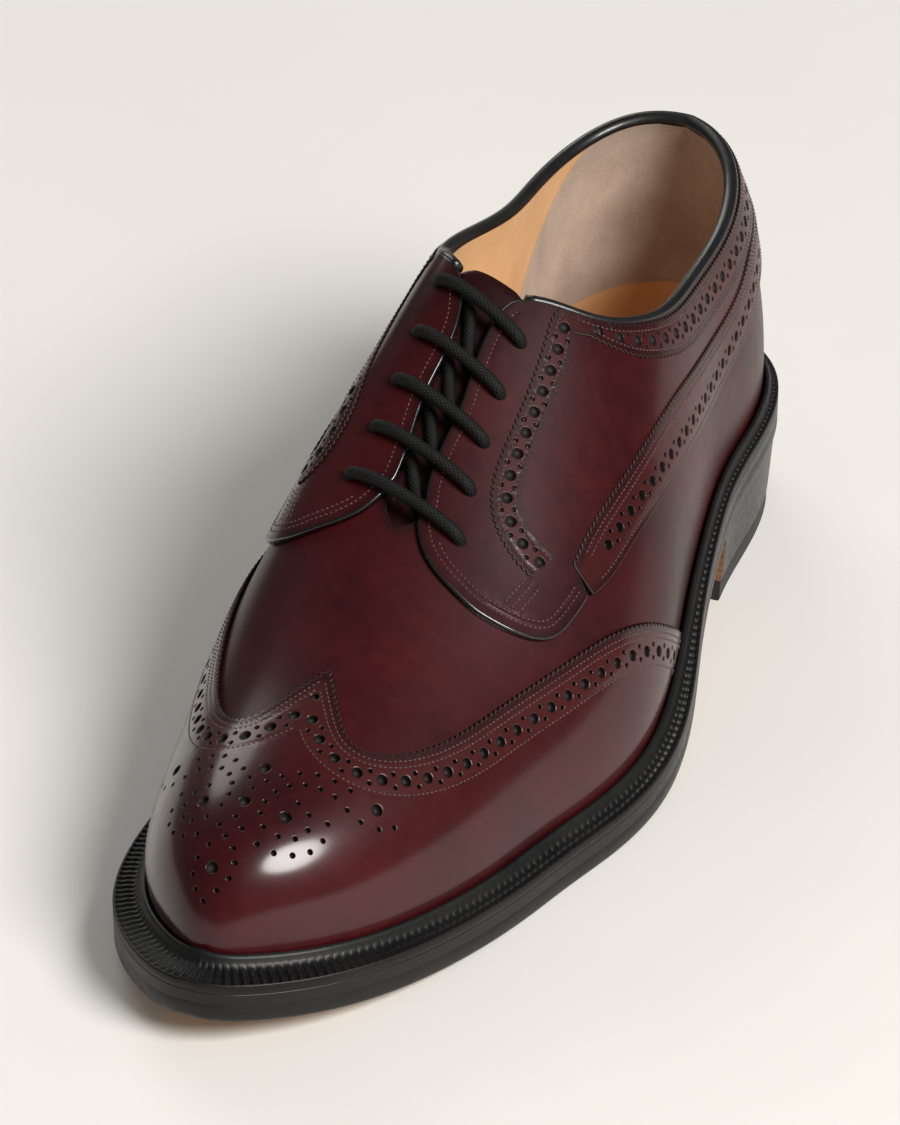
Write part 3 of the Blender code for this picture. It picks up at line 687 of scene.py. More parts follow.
def deselect() -> None:
    """Leave nothing selected, so that an operator acts on a new piece alone."""
    for item in bpy.context.view_layer.objects:
        item.select_set(False)


def make_mesh(
    name: str, points: Array, faces: Sequence[Sequence[int]], finishes: Sequence[Material],
    slots: Sequence[int] | None = None, normals: Array | None = None, marks: dict[str, Array] | None = None,
) -> Object:
    """A smooth piece from points in millimetres.

    Args:
        name: the piece's name.
        points: vertices in millimetres.
        faces: loops of vertex numbers, anticlockwise from outside.
        finishes: materials of the slots.
        slots: material slot of each face.
        normals: shading normals of the vertices, where the surface's own formula gives them.
        marks: named values for each vertex, which materials read.

    Returns:
        The new object.
    """
    mesh = bpy.data.meshes.new(name)
    mesh.from_pydata((np.asarray(points, float) * MM).tolist(), [], [list(map(int, f)) for f in faces])
    for material in finishes:
        mesh.materials.append(material)
    if slots is not None:
        mesh.polygons.foreach_set("material_index", np.asarray(slots, np.int32))
    for key, values in (marks or {}).items():
        attribute = mesh.attributes.new(key, "FLOAT", "POINT")
        attribute.data.foreach_set("value", np.asarray(values, np.float32))
    mesh.shade_smooth()
    if normals is not None:
        mesh.normals_split_custom_set_from_vertices(unit(np.asarray(normals, float)).tolist())
    item = bpy.data.objects.new(name, mesh)
    bpy.context.scene.collection.objects.link(item)
    return item


def finish_piece(item: Object, slot: str, *nodes: str) -> Object:
    """Seat a piece on the shoe's body and hide the nodes it stands for."""
    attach(item, BODY)
    if nodes:
        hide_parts(*nodes)
    LOG.info("%s: %d faces", item.name, len(item.data.polygons))
    return item


def loft(rings: Array, closed: bool) -> list[list[int]]:
    """Faces between rows of points, each row a closed ring.

    Args:
        rings: array of rows by points by coordinates.
        closed: whether the last row joins the first.

    Returns:
        Loops of vertex numbers.
    """
    count, size = rings.shape[:2]
    faces = []
    for i in range(count if closed else count - 1):
        j = (i + 1) % count
        for k in range(size):
            m = (k + 1) % size
            faces.append([i * size + k, i * size + m, j * size + m, j * size + k])
    return faces


def end_caps(rings: Array) -> list[list[int]]:
    """Faces that close both ends of a loft whose rings run out along a face and back along the other."""
    count, size = rings.shape[:2]
    steps = range(size // 2 - 1)
    corners = [(k, k + 1, size - 2 - k, size - 1 - k) for k in steps]
    return [[row * size + v for v in four] for row in (0, count - 1) for four in corners]


def merge_and_turn(item: Object, distance: float = 0.01) -> Object:
    """Merge doubles and point every face outwards, in edit mode."""
    deselect()
    bpy.context.view_layer.objects.active = item
    item.select_set(True)
    bpy.ops.object.mode_set(mode="EDIT")
    bpy.ops.mesh.select_all(action="SELECT")
    bpy.ops.mesh.remove_doubles(threshold=distance * MM)
    bpy.ops.mesh.dissolve_degenerate(threshold=1e-7)
    bpy.ops.mesh.normals_make_consistent(inside=False)
    bpy.ops.object.mode_set(mode="OBJECT")
    deselect()
    return item


@dataclass(frozen=True)
class Hole:
    """A round hole: its place on the skin, its radius, and whether it goes right through."""

    place: tuple[float, float]
    radius: float
    through: bool = False

    @property
    def sides(self) -> int:
        """Corners that its edge is drawn with."""
        return 16 if self.radius > 0.9 else 9


class Slot(Enum):
    """Material slots of a leather sheet."""

    GRAIN = 0
    EDGE = 1
    # Walls and floors of the holes, painted near black as the shade inside them
    PIT = 2
    UNDER = 3


@dataclass
class Sheet:
    """Leather cut to an outline, punched and pressed in along its seams, laid on the last.

    A sheet is triangulated flat, because its punched and gimped edges follow no grid. It is then laid on
    the last with the shading normals of the last's own formula, which keep its polish free of facets.
    """

    skin: Skin
    outline: Array
    top: Callable[[Array], Array]
    foot: Callable[[Array], Array]
    grain: float = 2.8
    round_edge: float = 0.3
    holes: list[Hole] = field(default_factory=list)
    seams: list[Array] = field(default_factory=list)
    press: float = 0.08
    open_seam: bool = False
    tint_line: Array | None = None
    tint_width: float = 10.0
    seam_half: float = 0.7
    seam_step: float = 0.95
    edge_clear: float = 0.32
    hole_clear: float = 0.25
    hole_guard: float = 0.55
    pit_floor: float = 0.12

    def lay_out(self) -> tuple[Array, list[tuple[int, int]], list[range], Array]:
        """Choose the sheet's vertices.

        Returns:
            Coordinates, edges to keep, the vertex range of each loop, and how deep each vertex is pressed.
        """
        skin = self.skin
        loop = self.outline
        flat = skin.flat(loop)
        nxt = np.roll(flat, -1, axis=0)
        if np.sum(flat[:, 0] * nxt[:, 1] - nxt[:, 0] * flat[:, 1]) < 0:
            loop = loop[::-1]
            flat = flat[::-1]
        parts = [loop]
        ranges = [range(0, len(loop))]
        start = len(loop)
        guards = []
        for hole in self.holes:
            parts.append(skin.ring(np.array(hole.place), hole.radius, hole.sides))
            ranges.append(range(start, start + hole.sides))
            start += hole.sides
            guards.append(skin.ring(np.array(hole.place), hole.radius + self.hole_guard, hole.sides))
        edges = [(r[k], r[(k + 1) % len(r)]) for r in ranges for k in range(len(r))]
        fixed = np.vstack([skin.flat(p) for p in parts])
        fixed_tree = tree_of(fixed)
        depth = [np.zeros(start)]
        extra = []
        for seam in self.seams:
            line = skin.resample(seam, self.seam_step)
            for shift, press in ((0.0, self.press), (self.seam_half, 0.0), (-self.seam_half, 0.0)):
                extra.append((skin.aside(line, shift) if shift else line, press))
        extra += [(guard, 0.0) for guard in guards]
        if extra:
            spots = np.vstack([line for line, _ in extra])
            presses = np.concatenate([np.full(len(line), press) for line, press in extra])
            places = skin.flat(spots)
            keep = inside(places, flat) & (distances(places, fixed_tree) > self.edge_clear)
            keep &= ~self.in_hole(places)
            parts.append(spots[keep])
            depth.append(presses[keep])
            fixed = np.vstack([fixed, places[keep]])
        low, high = flat.min(axis=0), flat.max(axis=0)
        across = np.arange(low[0], high[0], self.grain)
        along = np.arange(low[1], high[1], self.grain * TRIANGLE_HEIGHT)
        x, y = np.meshgrid(across, along)
        x = x + (np.arange(len(along)) % 2)[:, None] * self.grain / 2
        places = np.stack([x.ravel(), y.ravel()], axis=-1)
        places = places[inside(places, flat)]
        places = places[distances(places, tree_of(fixed)) > 0.45 * self.grain]
        places = places[~self.in_hole(places)]
        parts.append(skin.unflat(places))
        depth.append(np.zeros(len(places)))
        return np.vstack(parts), edges, ranges, np.concatenate(depth)

    def in_hole(self, places: Array) -> Array:
        """Which flat places lie in or right beside a punched hole."""
        found = np.zeros(len(places), bool)
        for hole in self.holes:
            centre = self.skin.flat(np.array([hole.place]))[0]
            found |= np.linalg.norm(places - centre, axis=1) < hole.radius + self.hole_clear
        return found

    def build(self, name: str, finishes: Sequence[Material]) -> Object:
        """Triangulate the sheet, lay it on the last and close its edges, pits and underside.

        Args:
            name: the piece's name.
            finishes: materials in the order of Slot.

        Returns:
            The new object.
        """
        skin = self.skin
        q, edges, ranges, depth = self.lay_out()
        flat = skin.flat(q)
        result = delaunay_2d_cdt([Vector(p) for p in flat], edges, [], 1, 1e-4, True)
        faces, origin = result[2], result[3]
        places = np.array([[*c] for c in result[0]])
        count = len(places)
        found = {k: i for i, ids in enumerate(origin) for k in ids}
        coords, pressed = skin.unflat(places), np.zeros(count)
        for i, ids in enumerate(origin):
            if ids:
                coords[i], pressed[i] = q[ids[0]], depth[ids[0]]
        loops = [[found[k] for k in r] for r in ranges]
        owner = np.full(count, -1)
        for number, loop in enumerate(loops[1:]):
            owner[loop] = number
        base, normal = skin.point(coords), skin.normal(coords)
        top = self.top(coords) - pressed
        foot = self.foot(coords)
        points = [base + normal * top[:, None], base + normal * foot[:, None]]
        shade = [normal.copy(), -normal]
        out_faces: list[list[int]] = []
        slots: list[int] = []
        middles = np.array([places[list(face)].mean(axis=0) for face in faces])
        for face, within in zip(faces, inside(middles, places[loops[0]])):
            if not within:
                continue
            face = list(face)
            a, b, c = (places[face[k]] for k in range(3))
            if (b[0] - a[0]) * (c[1] - a[1]) - (b[1] - a[1]) * (c[0] - a[0]) < 0:
                face.reverse()
            hole = owner[face[0]]
            in_hole = hole >= 0 and all(owner[k] == hole for k in face)
            if not in_hole:
                out_faces.append(face)
                slots.append(Slot.GRAIN.value)
            if not in_hole or not self.holes[hole].through:
                out_faces.append([count + k for k in reversed(face)])
                slots.append(Slot.UNDER.value)
        self.smooth_seams(points[0], shade[0], out_faces, pressed)
        total = 2 * count
        for number, loop in enumerate(loops):
            hole = self.holes[number - 1] if number else None
            rows, row_normals, pit = self.rim(loop, base, normal, top, foot, hole)
            size = len(loop)
            ids = [np.array(loop)]
            if pit is None:
                points[1][loop] = rows.pop()
            for row, row_normal in zip(rows, row_normals):
                points.append(row)
                shade.append(row_normal)
                ids.append(np.arange(total, total + size))
                total += size
            if pit is None:
                ids.append(np.array(loop) + count)
            skip = np.zeros(size, bool)
            if self.open_seam and not number:
                turns = skin.split(coords[loop])[1]
                skip = (turns < 1e-6) & (np.roll(turns, -1) < 1e-6)
            # A hole's wall, and below the floor of a blind hole, take the painted shade of the holes
            wall = Slot.PIT if hole else Slot.EDGE
            for depth_row, (here, there) in enumerate(zip(ids, ids[1:])):
                for k in np.flatnonzero(~skip):
                    m = (k + 1) % size
                    out_faces.append([here[k], there[k], there[m], here[m]])
                    slots.append(Slot.GRAIN.value if hole and not depth_row else wall.value)
            if pit is not None:
                points.append(pit[None, :])
                shade.append(normal[loop].mean(axis=0)[None, :])
                out_faces += [[ids[-1][k], total, ids[-1][(k + 1) % size]] for k in range(size)]
                slots += [Slot.PIT.value] * size
                total += 1
        solid = np.vstack(points)
        marks = {"tint": self.tint(solid), "margin": self.margin(solid, loops[0])}
        if self.open_seam:
            return self.weld(name, solid, out_faces, slots, np.vstack(shade), marks, finishes)
        return make_mesh(name, solid, out_faces, finishes, slots, np.vstack(shade), marks)

    def rim(
        self, loop: list[int], base: Array, normal: Array, top: Array, foot: Array, hole: Hole | None
    ) -> tuple[list[Array], list[Array], Array | None]:
        """Rows of points that turn an edge down, and the floor of a blind hole.

        Args:
            loop: vertices of the edge.
            base: points on the last.
            normal: normals of the last.
            top: height of the sheet's outer face.
            foot: height of its under face.
            hole: the hole whose edge this is, or None for the outline.

        Returns:
            Rows of points, their normals, and the middle of the pit's floor or None.
        """
        up = normal[loop]
        high = base[loop] + up * top[loop][:, None]
        run = np.roll(high, -1, axis=0) - np.roll(high, 1, axis=0)
        out = unit(np.cross(run, up))
        thick = np.minimum(self.round_edge, 0.45 * (top[loop] - foot[loop]))[:, None]
        if hole is not None:
            thick = np.minimum(thick, 0.3 * hole.radius)
        rows, normals = [], []
        for angle in (45.0, 90.0):
            sine, cosine = math.sin(math.radians(angle)), math.cos(math.radians(angle))
            rows.append(high + out * thick * sine - up * thick * (1 - cosine))
            normals.append(out * sine + up * cosine)
        deep = (top[loop] - foot[loop])[:, None]
        blind = hole is not None and not hole.through
        rows.append(high + out * thick - up * (deep - self.pit_floor if blind else deep))
        normals.append(out)
        return rows, normals, rows[-1].mean(axis=0) if blind else None

    def smooth_seams(self, points: Array, shade: Array, faces: list[list[int]], pressed: Array) -> None:
        """Give the vertices in and beside a pressed seam the normals of the mesh itself."""
        if not self.seams:
            return
        count = len(pressed)
        tris = np.array([f for f in faces if max(f) < count])
        a, b, c = (points[tris[:, k]] for k in range(3))
        across = np.cross(b - a, c - a)
        total = np.zeros((count, 3))
        for k in range(3):
            np.add.at(total, tris[:, k], across)
        near = np.zeros(count, bool)
        touched = pressed[tris].max(axis=1) > 0
        near[tris[touched].ravel()] = True
        shade[near] = unit(total[near])

    def tint(self, points: Array) -> Array:
        """How far each vertex lies in the tinted strip beside the cut edge."""
        if self.tint_line is None:
            return np.zeros(len(points))
        near = distances(points, tree_of(self.skin.point(self.tint_line)))
        return 1 - ease(near, self.tint_width - 0.8, self.tint_width + 1.2)

    def margin(self, points: Array, loop: list[int]) -> Array:
        """Distance of each vertex from the sheet's cut edge, in millimetres, up to twelve."""
        return np.minimum(12.0, distances(points, tree_of(points[loop])))

    def weld(
        self, name: str, points: Array, faces: list[list[int]], slots: list[int], shade: Array,
        marks: dict[str, Array], finishes: Sequence[Material],
    ) -> Object:
        """Join the two edges that meet at the back of the heel and make the mesh."""
        keys = np.round(points / 0.01).astype(np.int64)
        first: dict[tuple[int, ...], int] = {}
        target = np.array([first.setdefault(tuple(k), i) for i, k in enumerate(keys)])
        order = np.unique(target)
        renumber = np.full(len(points), -1)
        renumber[order] = np.arange(len(order))
        kept_faces, kept_slots = [], []
        for face, slot in zip(faces, slots):
            loop = [int(renumber[target[k]]) for k in face]
            loop = [v for k, v in enumerate(loop) if v != loop[k - 1]]
            if len(loop) >= 3:
                kept_faces.append(loop)
                kept_slots.append(slot)
        kept_marks = {key: values[order] for key, values in marks.items()}
        return make_mesh(name, points[order], kept_faces, finishes, kept_slots, shade[order], kept_marks)


def gimped(skin: Skin, line: Array, pitch: float = 1.7, depth: float = 0.45) -> Array:
    """The line cut in a fine zig-zag, its teeth pointing to its left."""
    fine = skin.resample(line, pitch / 4)
    wave = np.array([-depth, 0.2 * depth, depth, 0.2 * depth])[np.arange(len(fine)) % 4]
    wave[0] = wave[-1] = 0.0
    return skin.aside(fine, wave)


def brogue_row(
    skin: Skin, line: Array, pitch: float = 6.2, large: float = 1.6, small: float = 0.78, gap: float = 1.6
) -> list[Hole]:
    """Large holes along a line, with a pair of pinholes between each two.

    Args:
        skin: the surface.
        line: coordinates along the middle of the row.
        pitch: distance between large holes.
        large: radius of a large hole.
        small: radius of a pinhole.
        gap: distance of a pinhole from the middle of the row.

    Returns:
        The holes.
    """
    even = skin.resample(line, pitch / 2)
    if len(even) % 2 == 0:
        length = np.linalg.norm(np.diff(skin.point(even), axis=0), axis=1).sum()
        even = skin.resample(line, length / len(even))
    sides = [skin.aside(even, gap), skin.aside(even, -gap)]
    holes = []
    for k, spot in enumerate(even):
        if k % 2 == 0:
            holes.append(Hole(tuple(spot), large))
        else:
            holes += [Hole(tuple(side[k]), small) for side in sides]
    return holes


class Graph:
    """A material's node tree, written as expressions."""

    def __init__(self, name: str) -> None:
        """Start a material with one shader."""
        self.material = bpy.data.materials.new(name)
        self.material.use_nodes = True
        self.nodes = self.material.node_tree.nodes
        self.links = self.material.node_tree.links
        self.shader = self.nodes["Principled BSDF"]

    def add(
        self, kind: str, settings: dict[str, Any] | None = None, inputs: dict[Any, Any] | None = None,
        output: Any = 0,
    ) -> Value:
        """Add a node.

        Args:
            kind: the node's type, without the ShaderNode prefix.
            settings: properties of the node, set first.
            inputs: values or links of its sockets, by name or number.
            output: the socket that is returned.

        Returns:
            The output, wrapped for expressions.
        """
        node = self.nodes.new("ShaderNode" + kind)
        for key, value in (settings or {}).items():
            setattr(node, key, value)
        for key, value in (inputs or {}).items():
            self.feed(node.inputs[key], value)
        return Value(self, node.outputs[output])

    def feed(self, socket: Socket, value: Any) -> None:
        """Link a value to a socket, or set the socket to a plain number or colour."""
        if isinstance(value, Value):
            self.links.new(value.socket, socket)
        else:
            socket.default_value = value

    def set(self, **inputs: Any) -> None:
        """Feed the shader's sockets, named with underscores for spaces."""
        for key, value in inputs.items():
            if isinstance(value, tuple) and len(value) == 3:
                value = (*value, 1.0)
            self.feed(self.shader.inputs[key.replace("_", " ")], value)

    def object_place(self) -> Value:
        """Object coordinates, in metres."""
        return self.add("TexCoord", output="Object")

    def mark(self, name: str) -> Value:
        """A value that the mesh carries."""
        return self.add("Attribute", {"attribute_name": name}, output="Fac")

    def noise(self, place: Value, scale: float, detail: float = 3.0, rough: float = 0.55) -> Value:
        """Soft noise from 0 to 1; scale is in waves a metre."""
        inputs = {"Vector": place, "Scale": scale, "Detail": detail, "Roughness": rough}
        return self.add("TexNoise", {}, inputs, "Fac")

    def cells(self, place: Value, scale: float) -> Value:
        """Distance to the nearest of many scattered points."""
        return self.add("TexVoronoi", {"feature": "F1"}, {"Vector": place, "Scale": scale}, "Distance")

    def blend(self, factor: Any, first: Any, second: Any) -> Value:
        """Mix of two colours."""
        wide = [(*c, 1.0) if isinstance(c, tuple) and len(c) == 3 else c for c in (first, second)]
        settings = {"data_type": "RGBA", "blend_type": "MIX"}
        return self.add("Mix", settings, {0: factor, 6: wide[0], 7: wide[1]}, 2)

    def span(self, value: Value, low: float, high: float, to_low: float, to_high: float) -> Value:
        """Value carried from one range to another, kept inside it."""
        inputs = {"Value": value, "From Min": low, "From Max": high, "To Min": to_low, "To Max": to_high}
        return self.add("MapRange", {"clamp": True}, inputs, "Result")

    def bump(self, height: Value, distance: float, strength: float = 1.0, under: Any = None) -> Value:
        """Normal of a height, its full range being a distance in metres."""
        inputs = {"Height": height, "Distance": distance, "Strength": strength}
        if under is not None:
            inputs["Normal"] = under
        return self.add("Bump", {}, inputs, "Normal")


class Value:
    """An output socket that takes part in arithmetic; each operation adds a Math node."""

    def __init__(self, graph: Graph, socket: Socket) -> None:
        """Wrap a socket of a graph."""
        self.graph, self.socket = graph, socket

    def math(self, operation: str, *values: Any) -> Value:
        """A Math node on values."""
        return self.graph.add("Math", {"operation": operation}, dict(enumerate(values)))

    def __add__(self, other: Any) -> Value:
        """Sum."""
        return self.math("ADD", self, other)

    __radd__ = __add__

    def __sub__(self, other: Any) -> Value:
        """Difference."""
        return self.math("SUBTRACT", self, other)

    def __rsub__(self, other: Any) -> Value:
        """Difference, from a number."""
        return self.math("SUBTRACT", other, self)

    def __mul__(self, other: Any) -> Value:
        """Product."""
        return self.math("MULTIPLY", self, other)

    __rmul__ = __mul__

    def __pow__(self, other: float) -> Value:
        """Power."""
        return self.math("POWER", self, other)

    def sine(self) -> Value:
        """Sine of the value."""
        return self.math("SINE", self)


@dataclass(frozen=True)
class PolishedCalf:
    """High-shine calf: clouded burgundy, burnished at its cut edges, with fine pores under a polish."""

    name: str
    deep: Colour = (0.018, 0.0022, 0.0030)
    base: Colour = (0.050, 0.0048, 0.0060)
    strip: Colour = (0.046, 0.0084, 0.0076)
    burnish: Colour = (0.012, 0.0026, 0.0030)
    tinted: float = 0.0
    roughness: float = 0.34
    polish: float = 0.42
    gloss: float = 0.16

    def make(self) -> Material:
        """Build the material."""
        g = Graph(self.name)
        place = g.object_place()
        cloud = g.noise(place, 24.0, 2.0)
        fleck = g.noise(place, 240.0, 4.0)
        shade = g.span(cloud + fleck * 0.35, 0.45, 0.92, 0.0, 1.0)
        colour = g.blend(shade, self.deep, self.base)
        tint = g.mark("tint") * 0.75
        colour = g.blend(tint + self.tinted if self.tinted else tint, colour, self.strip)
        edge = g.span(g.mark("margin"), 0.2, 2.4, 0.75, 0.0)
        colour = g.blend(edge, colour, self.burnish)
        pores = g.cells(place, 2300.0)
        wrinkle = g.noise(place, 700.0, 5.0, 0.6)
        drift = g.noise(place, 75.0, 2.0)
        pressed = g.bump(drift, 0.00022, 0.35)
        normal = g.bump(pores * 0.35 + wrinkle * 0.65, 0.00003, 0.30, pressed)
        rough = g.span(fleck, 0.3, 0.8, self.roughness, self.roughness + 0.1)
        g.set(Base_Color=colour, Normal=normal, Roughness=rough)
        g.set(Coat_Weight=self.polish, Coat_Roughness=self.gloss, Coat_IOR=1.48, Specular_IOR_Level=0.1)
        return g.material


@dataclass(frozen=True)
class PlainLeather:
    """Leather without a pattern: cut edges, linings, binding and soles, and the painted shade inside the
    punched holes.

    Grain is the size of its surface in waves a metre, and relief its height in metres.
    """

    name: str
    dark: Colour
    light: Colour
    roughness: float
    grain: float = 900.0
    relief: float = 0.00004
    polish: float = 0.0
    patch: float = 60.0
    fuzz: float = 0.0
    shine: float = 0.5

    def make(self) -> Material:
        """Build the material."""
        g = Graph(self.name)
        place = g.object_place()
        patch = g.noise(place, self.patch, 5.0, 0.6)
        fibre = g.noise(place, self.grain, 6.0, 0.65)
        shade = g.span(patch * 0.65 + fibre * 0.35, 0.36, 0.64, 0.0, 1.0)
        pores = g.cells(place, self.grain * 1.6)
        normal = g.bump(fibre * 0.7 + pores * 0.3, self.relief, 0.6)
        rough = g.span(fibre, 0.3, 0.7, self.roughness - 0.06, self.roughness + 0.08)
        g.set(Base_Color=g.blend(shade, self.dark, self.light), Roughness=rough, Normal=normal)
        g.set(Coat_Weight=self.polish, Coat_Roughness=0.12, Specular_IOR_Level=self.shine)
        g.set(Sheen_Weight=self.fuzz, Sheen_Roughness=0.6)
        return g.material


@dataclass(frozen=True)
class QuarterLining:
    """Lining of the upper: smooth tan leather in front and suede round the heel, met at a slanted seam."""

    name: str = "quarter_lining"
    tan_dark: Colour = (0.68, 0.365, 0.150)
    tan_light: Colour = (0.84, 0.485, 0.215)
    suede_dark: Colour = (0.360, 0.262, 0.195)
    suede_light: Colour = (0.540, 0.415, 0.325)
    pad_height: float = 0.0475
    seam_at: float = 0.1173
    seam_height: float = 0.0911
    slant: float = 1.08

    def make(self) -> Material:
        """Build the material; the seam is a plane across the shoe, so it stays sharp."""
        g = Graph(self.name)
        place = g.object_place()
        split = g.add("SeparateXYZ", {}, {"Vector": place}, "Y")
        height = g.add("SeparateXYZ", {}, {"Vector": place}, "Z")
        ahead = split - height * self.slant + (self.seam_height * self.slant - self.seam_at)
        heel = g.span(ahead, -0.0002, 0.0002, 0.0, 1.0)
        heel = heel * g.span(height, self.pad_height - 0.0003, self.pad_height + 0.0003, 0.0, 1.0)
        line = g.span((ahead * ahead) ** 0.5, 0.0003, 0.0010, 1.0, 0.0)
        patch = g.noise(place, 55.0, 5.0, 0.62)
        nap = g.noise(place, 1400.0, 6.0, 0.7)
        tan = g.blend(g.span(patch, 0.3, 0.7, 0.0, 1.0), self.tan_dark, self.tan_light)
        worn = g.span(patch * 0.6 + nap * 0.4, 0.35, 0.65, 0.0, 1.0)
        suede = g.blend(worn, self.suede_dark, self.suede_light)
        colour = g.blend(heel, tan, suede)
        colour = g.blend(line * 0.5, colour, self.suede_dark)
        normal = g.bump(nap * (heel * 0.8 + 0.15) - line * 0.8, 0.00012, 0.7)
        g.set(Base_Color=colour, Roughness=heel * 0.4 + 0.5, Normal=normal, Sheen_Weight=0.12)
        return g.material


@dataclass(frozen=True)
class StackedLeather:
    """Heel or sole edge: pressed layers seen from the side under a wax dressing."""

    name: str
    dark: Colour
    light: Colour
    roughness: float
    layers: float = 0.0
    polish: float = 0.0

    def make(self) -> Material:
        """Build the material; layers is the thickness of one lift in metres, or 0 for none."""
        g = Graph(self.name)
        place = g.object_place()
        layers = {"Vector": place, "Scale": (60.0, 60.0, 900.0)}
        stretched = g.add("Mapping", {"vector_type": "POINT"}, layers, "Vector")
        streak = g.noise(stretched, 1.0, 5.0, 0.6)
        scuff = g.noise(place, 420.0, 4.0, 0.6)
        shade = g.span(streak * 0.6 + scuff * 0.4, 0.35, 0.65, 0.0, 1.0)
        colour = g.blend(shade, self.dark, self.light)
        height = streak * 0.6 + scuff * 0.4
        if self.layers:
            rise = g.add("SeparateXYZ", {}, {"Vector": place}, "Z")
            wave = (rise * (2 * math.pi / self.layers)).sine()
            joint = g.span(wave, 0.90, 1.0, 0.0, 1.0)
            colour = g.blend(joint * 0.7, colour, tuple(0.35 * c for c in self.dark))
            height = height - joint
        g.set(Base_Color=colour, Normal=g.bump(height, 0.00006, 0.5))
        g.set(Roughness=g.span(scuff, 0.3, 0.7, self.roughness - 0.05, self.roughness + 0.1))
        g.set(Coat_Weight=self.polish, Coat_Roughness=0.2, Specular_IOR_Level=0.25)
        return g.material


@dataclass(frozen=True)
class BraidedCotton:
    """Round waxed lace: a braid of crossing strands that follows the lace's own length."""

    name: str = "waxed_lace"
    # dark is painted shade in the braid's grooves; light is the strands' crowns
    dark: Colour = (0.0022, 0.0022, 0.0024)
    light: Colour = (0.0085, 0.0082, 0.0082)
    strands: int = 9
    pitch: float = 5.2

    def make(self) -> Material:
        """Build the material from the lace's along and around marks."""
        g = Graph(self.name)
        angle = g.mark("lace_sine").math("ARCTAN2", g.mark("lace_sine"), g.mark("lace_cosine"))
        around = angle * (self.strands / (2 * math.pi))
        along = g.mark("lace_along") * (self.strands / self.pitch / 2.4)
        first = ((around + along) * math.pi).sine()
        second = ((around - along) * math.pi).sine()
        diamond = (first * second * first * second) ** 0.25
        twist = ((around * 3.0 + along * 6.0) * math.pi).sine()
        fuzz = g.noise(g.object_place(), 2600.0, 4.0, 0.7)
        height = diamond + twist * 0.12 + fuzz * 0.35
        # The braid's grooves are painted darker than its crowns: painted shade that follows the braid's
        # relief
        colour = g.blend(g.span(diamond, 0.1, 0.95, 0.0, 1.0), self.dark, self.light)
        g.set(Base_Color=colour, Roughness=0.62, Specular_IOR_Level=0.2)
        g.set(Normal=g.bump(height, 0.00018, 0.7))
        return g.material


@dataclass(frozen=True)
class WaxedThread:
    """Sewing thread: a fine twist with a waxy sheen."""

    name: str
    colour: Colour

    def make(self) -> Material:
        """Build the material."""
        g = Graph(self.name)
        place = g.object_place()
        wear = g.noise(place, 500.0, 3.0)
        dark = tuple(0.45 * c for c in self.colour)
        twist = g.noise(place, 5200.0, 2.0)
        g.set(Base_Color=g.blend(g.span(wear, 0.35, 0.65, 0.0, 1.0), dark, self.colour))
        g.set(Roughness=0.42, Normal=g.bump(twist, 0.00008, 0.6), Sheen_Weight=0.1)
        return g.material


class Finishes:
    """Every finish of the shoe, made once."""

    def __init__(self) -> None:
        """Make the materials."""
        self.calf = PolishedCalf("burgundy_calf").make()
        self.vamp_calf = PolishedCalf("vamp_calf", roughness=0.42, polish=0.3, gloss=0.22).make()
        self.toe_calf = PolishedCalf("toe_calf", polish=0.8, gloss=0.16).make()
        self.strip_calf = PolishedCalf("punched_strip_calf", tinted=0.5, polish=0.35, gloss=0.16).make()
        black, grey = (0.0038, 0.0038, 0.0042), (0.011, 0.0108, 0.0112)
        wax = (0.0040, 0.0039, 0.0039), (0.0095, 0.0092, 0.0090)
        tan, pale = (0.40, 0.215, 0.095), (0.56, 0.335, 0.165)
        plain = [
            PlainLeather("cut_edge", (0.010, 0.0032, 0.003), (0.030, 0.010, 0.009), 0.5),
            # Near-black finish on the walls and floors of the punched holes: painted shade inside the
            # holes, not the leather's own colour
            PlainLeather("pit", (0.004, 0.002, 0.002), (0.010, 0.004, 0.004), 0.7),
            PlainLeather("flesh", (0.16, 0.085, 0.05), (0.24, 0.14, 0.085), 0.85, fuzz=0.2),
            PlainLeather("edge_dye", black, (0.008, 0.008, 0.0085), 0.24, 600.0, 2e-5, 0.6),
            PlainLeather("binding", black, grey, 0.36, 1300.0, 5e-5, 0.25),
            PlainLeather("welt", black, (0.010, 0.0097, 0.0097), 0.46, 1000.0, 5e-5, 0.06, shine=0.22),
            StackedLeather("sole_wall", *wax, 0.40, 0.0, 0.15),
            StackedLeather("heel_wall", *wax, 0.40, 0.0042, 0.15),
            PlainLeather("tread", tan, pale, 0.48, 700.0, 4e-5),
            StackedLeather("breast", (0.17, 0.070, 0.032), (0.30, 0.145, 0.070), 0.5, 0.0042),
            PlainLeather("rubber", (0.006, 0.006, 0.006), (0.013, 0.013, 0.013), 0.62, 1500.0, 6e-5),
            PlainLeather("sock", (0.52, 0.255, 0.105), (0.64, 0.345, 0.155), 0.42, 800.0, 3e-5, 0.12, 30.0),
        ]
        for finish in plain:
            setattr(self, finish.name, finish.make())
        self.lining = QuarterLining().make()
        self.lace = BraidedCotton().make()
        self.thread = WaxedThread("burgundy_thread", (0.100, 0.052, 0.049)).make()


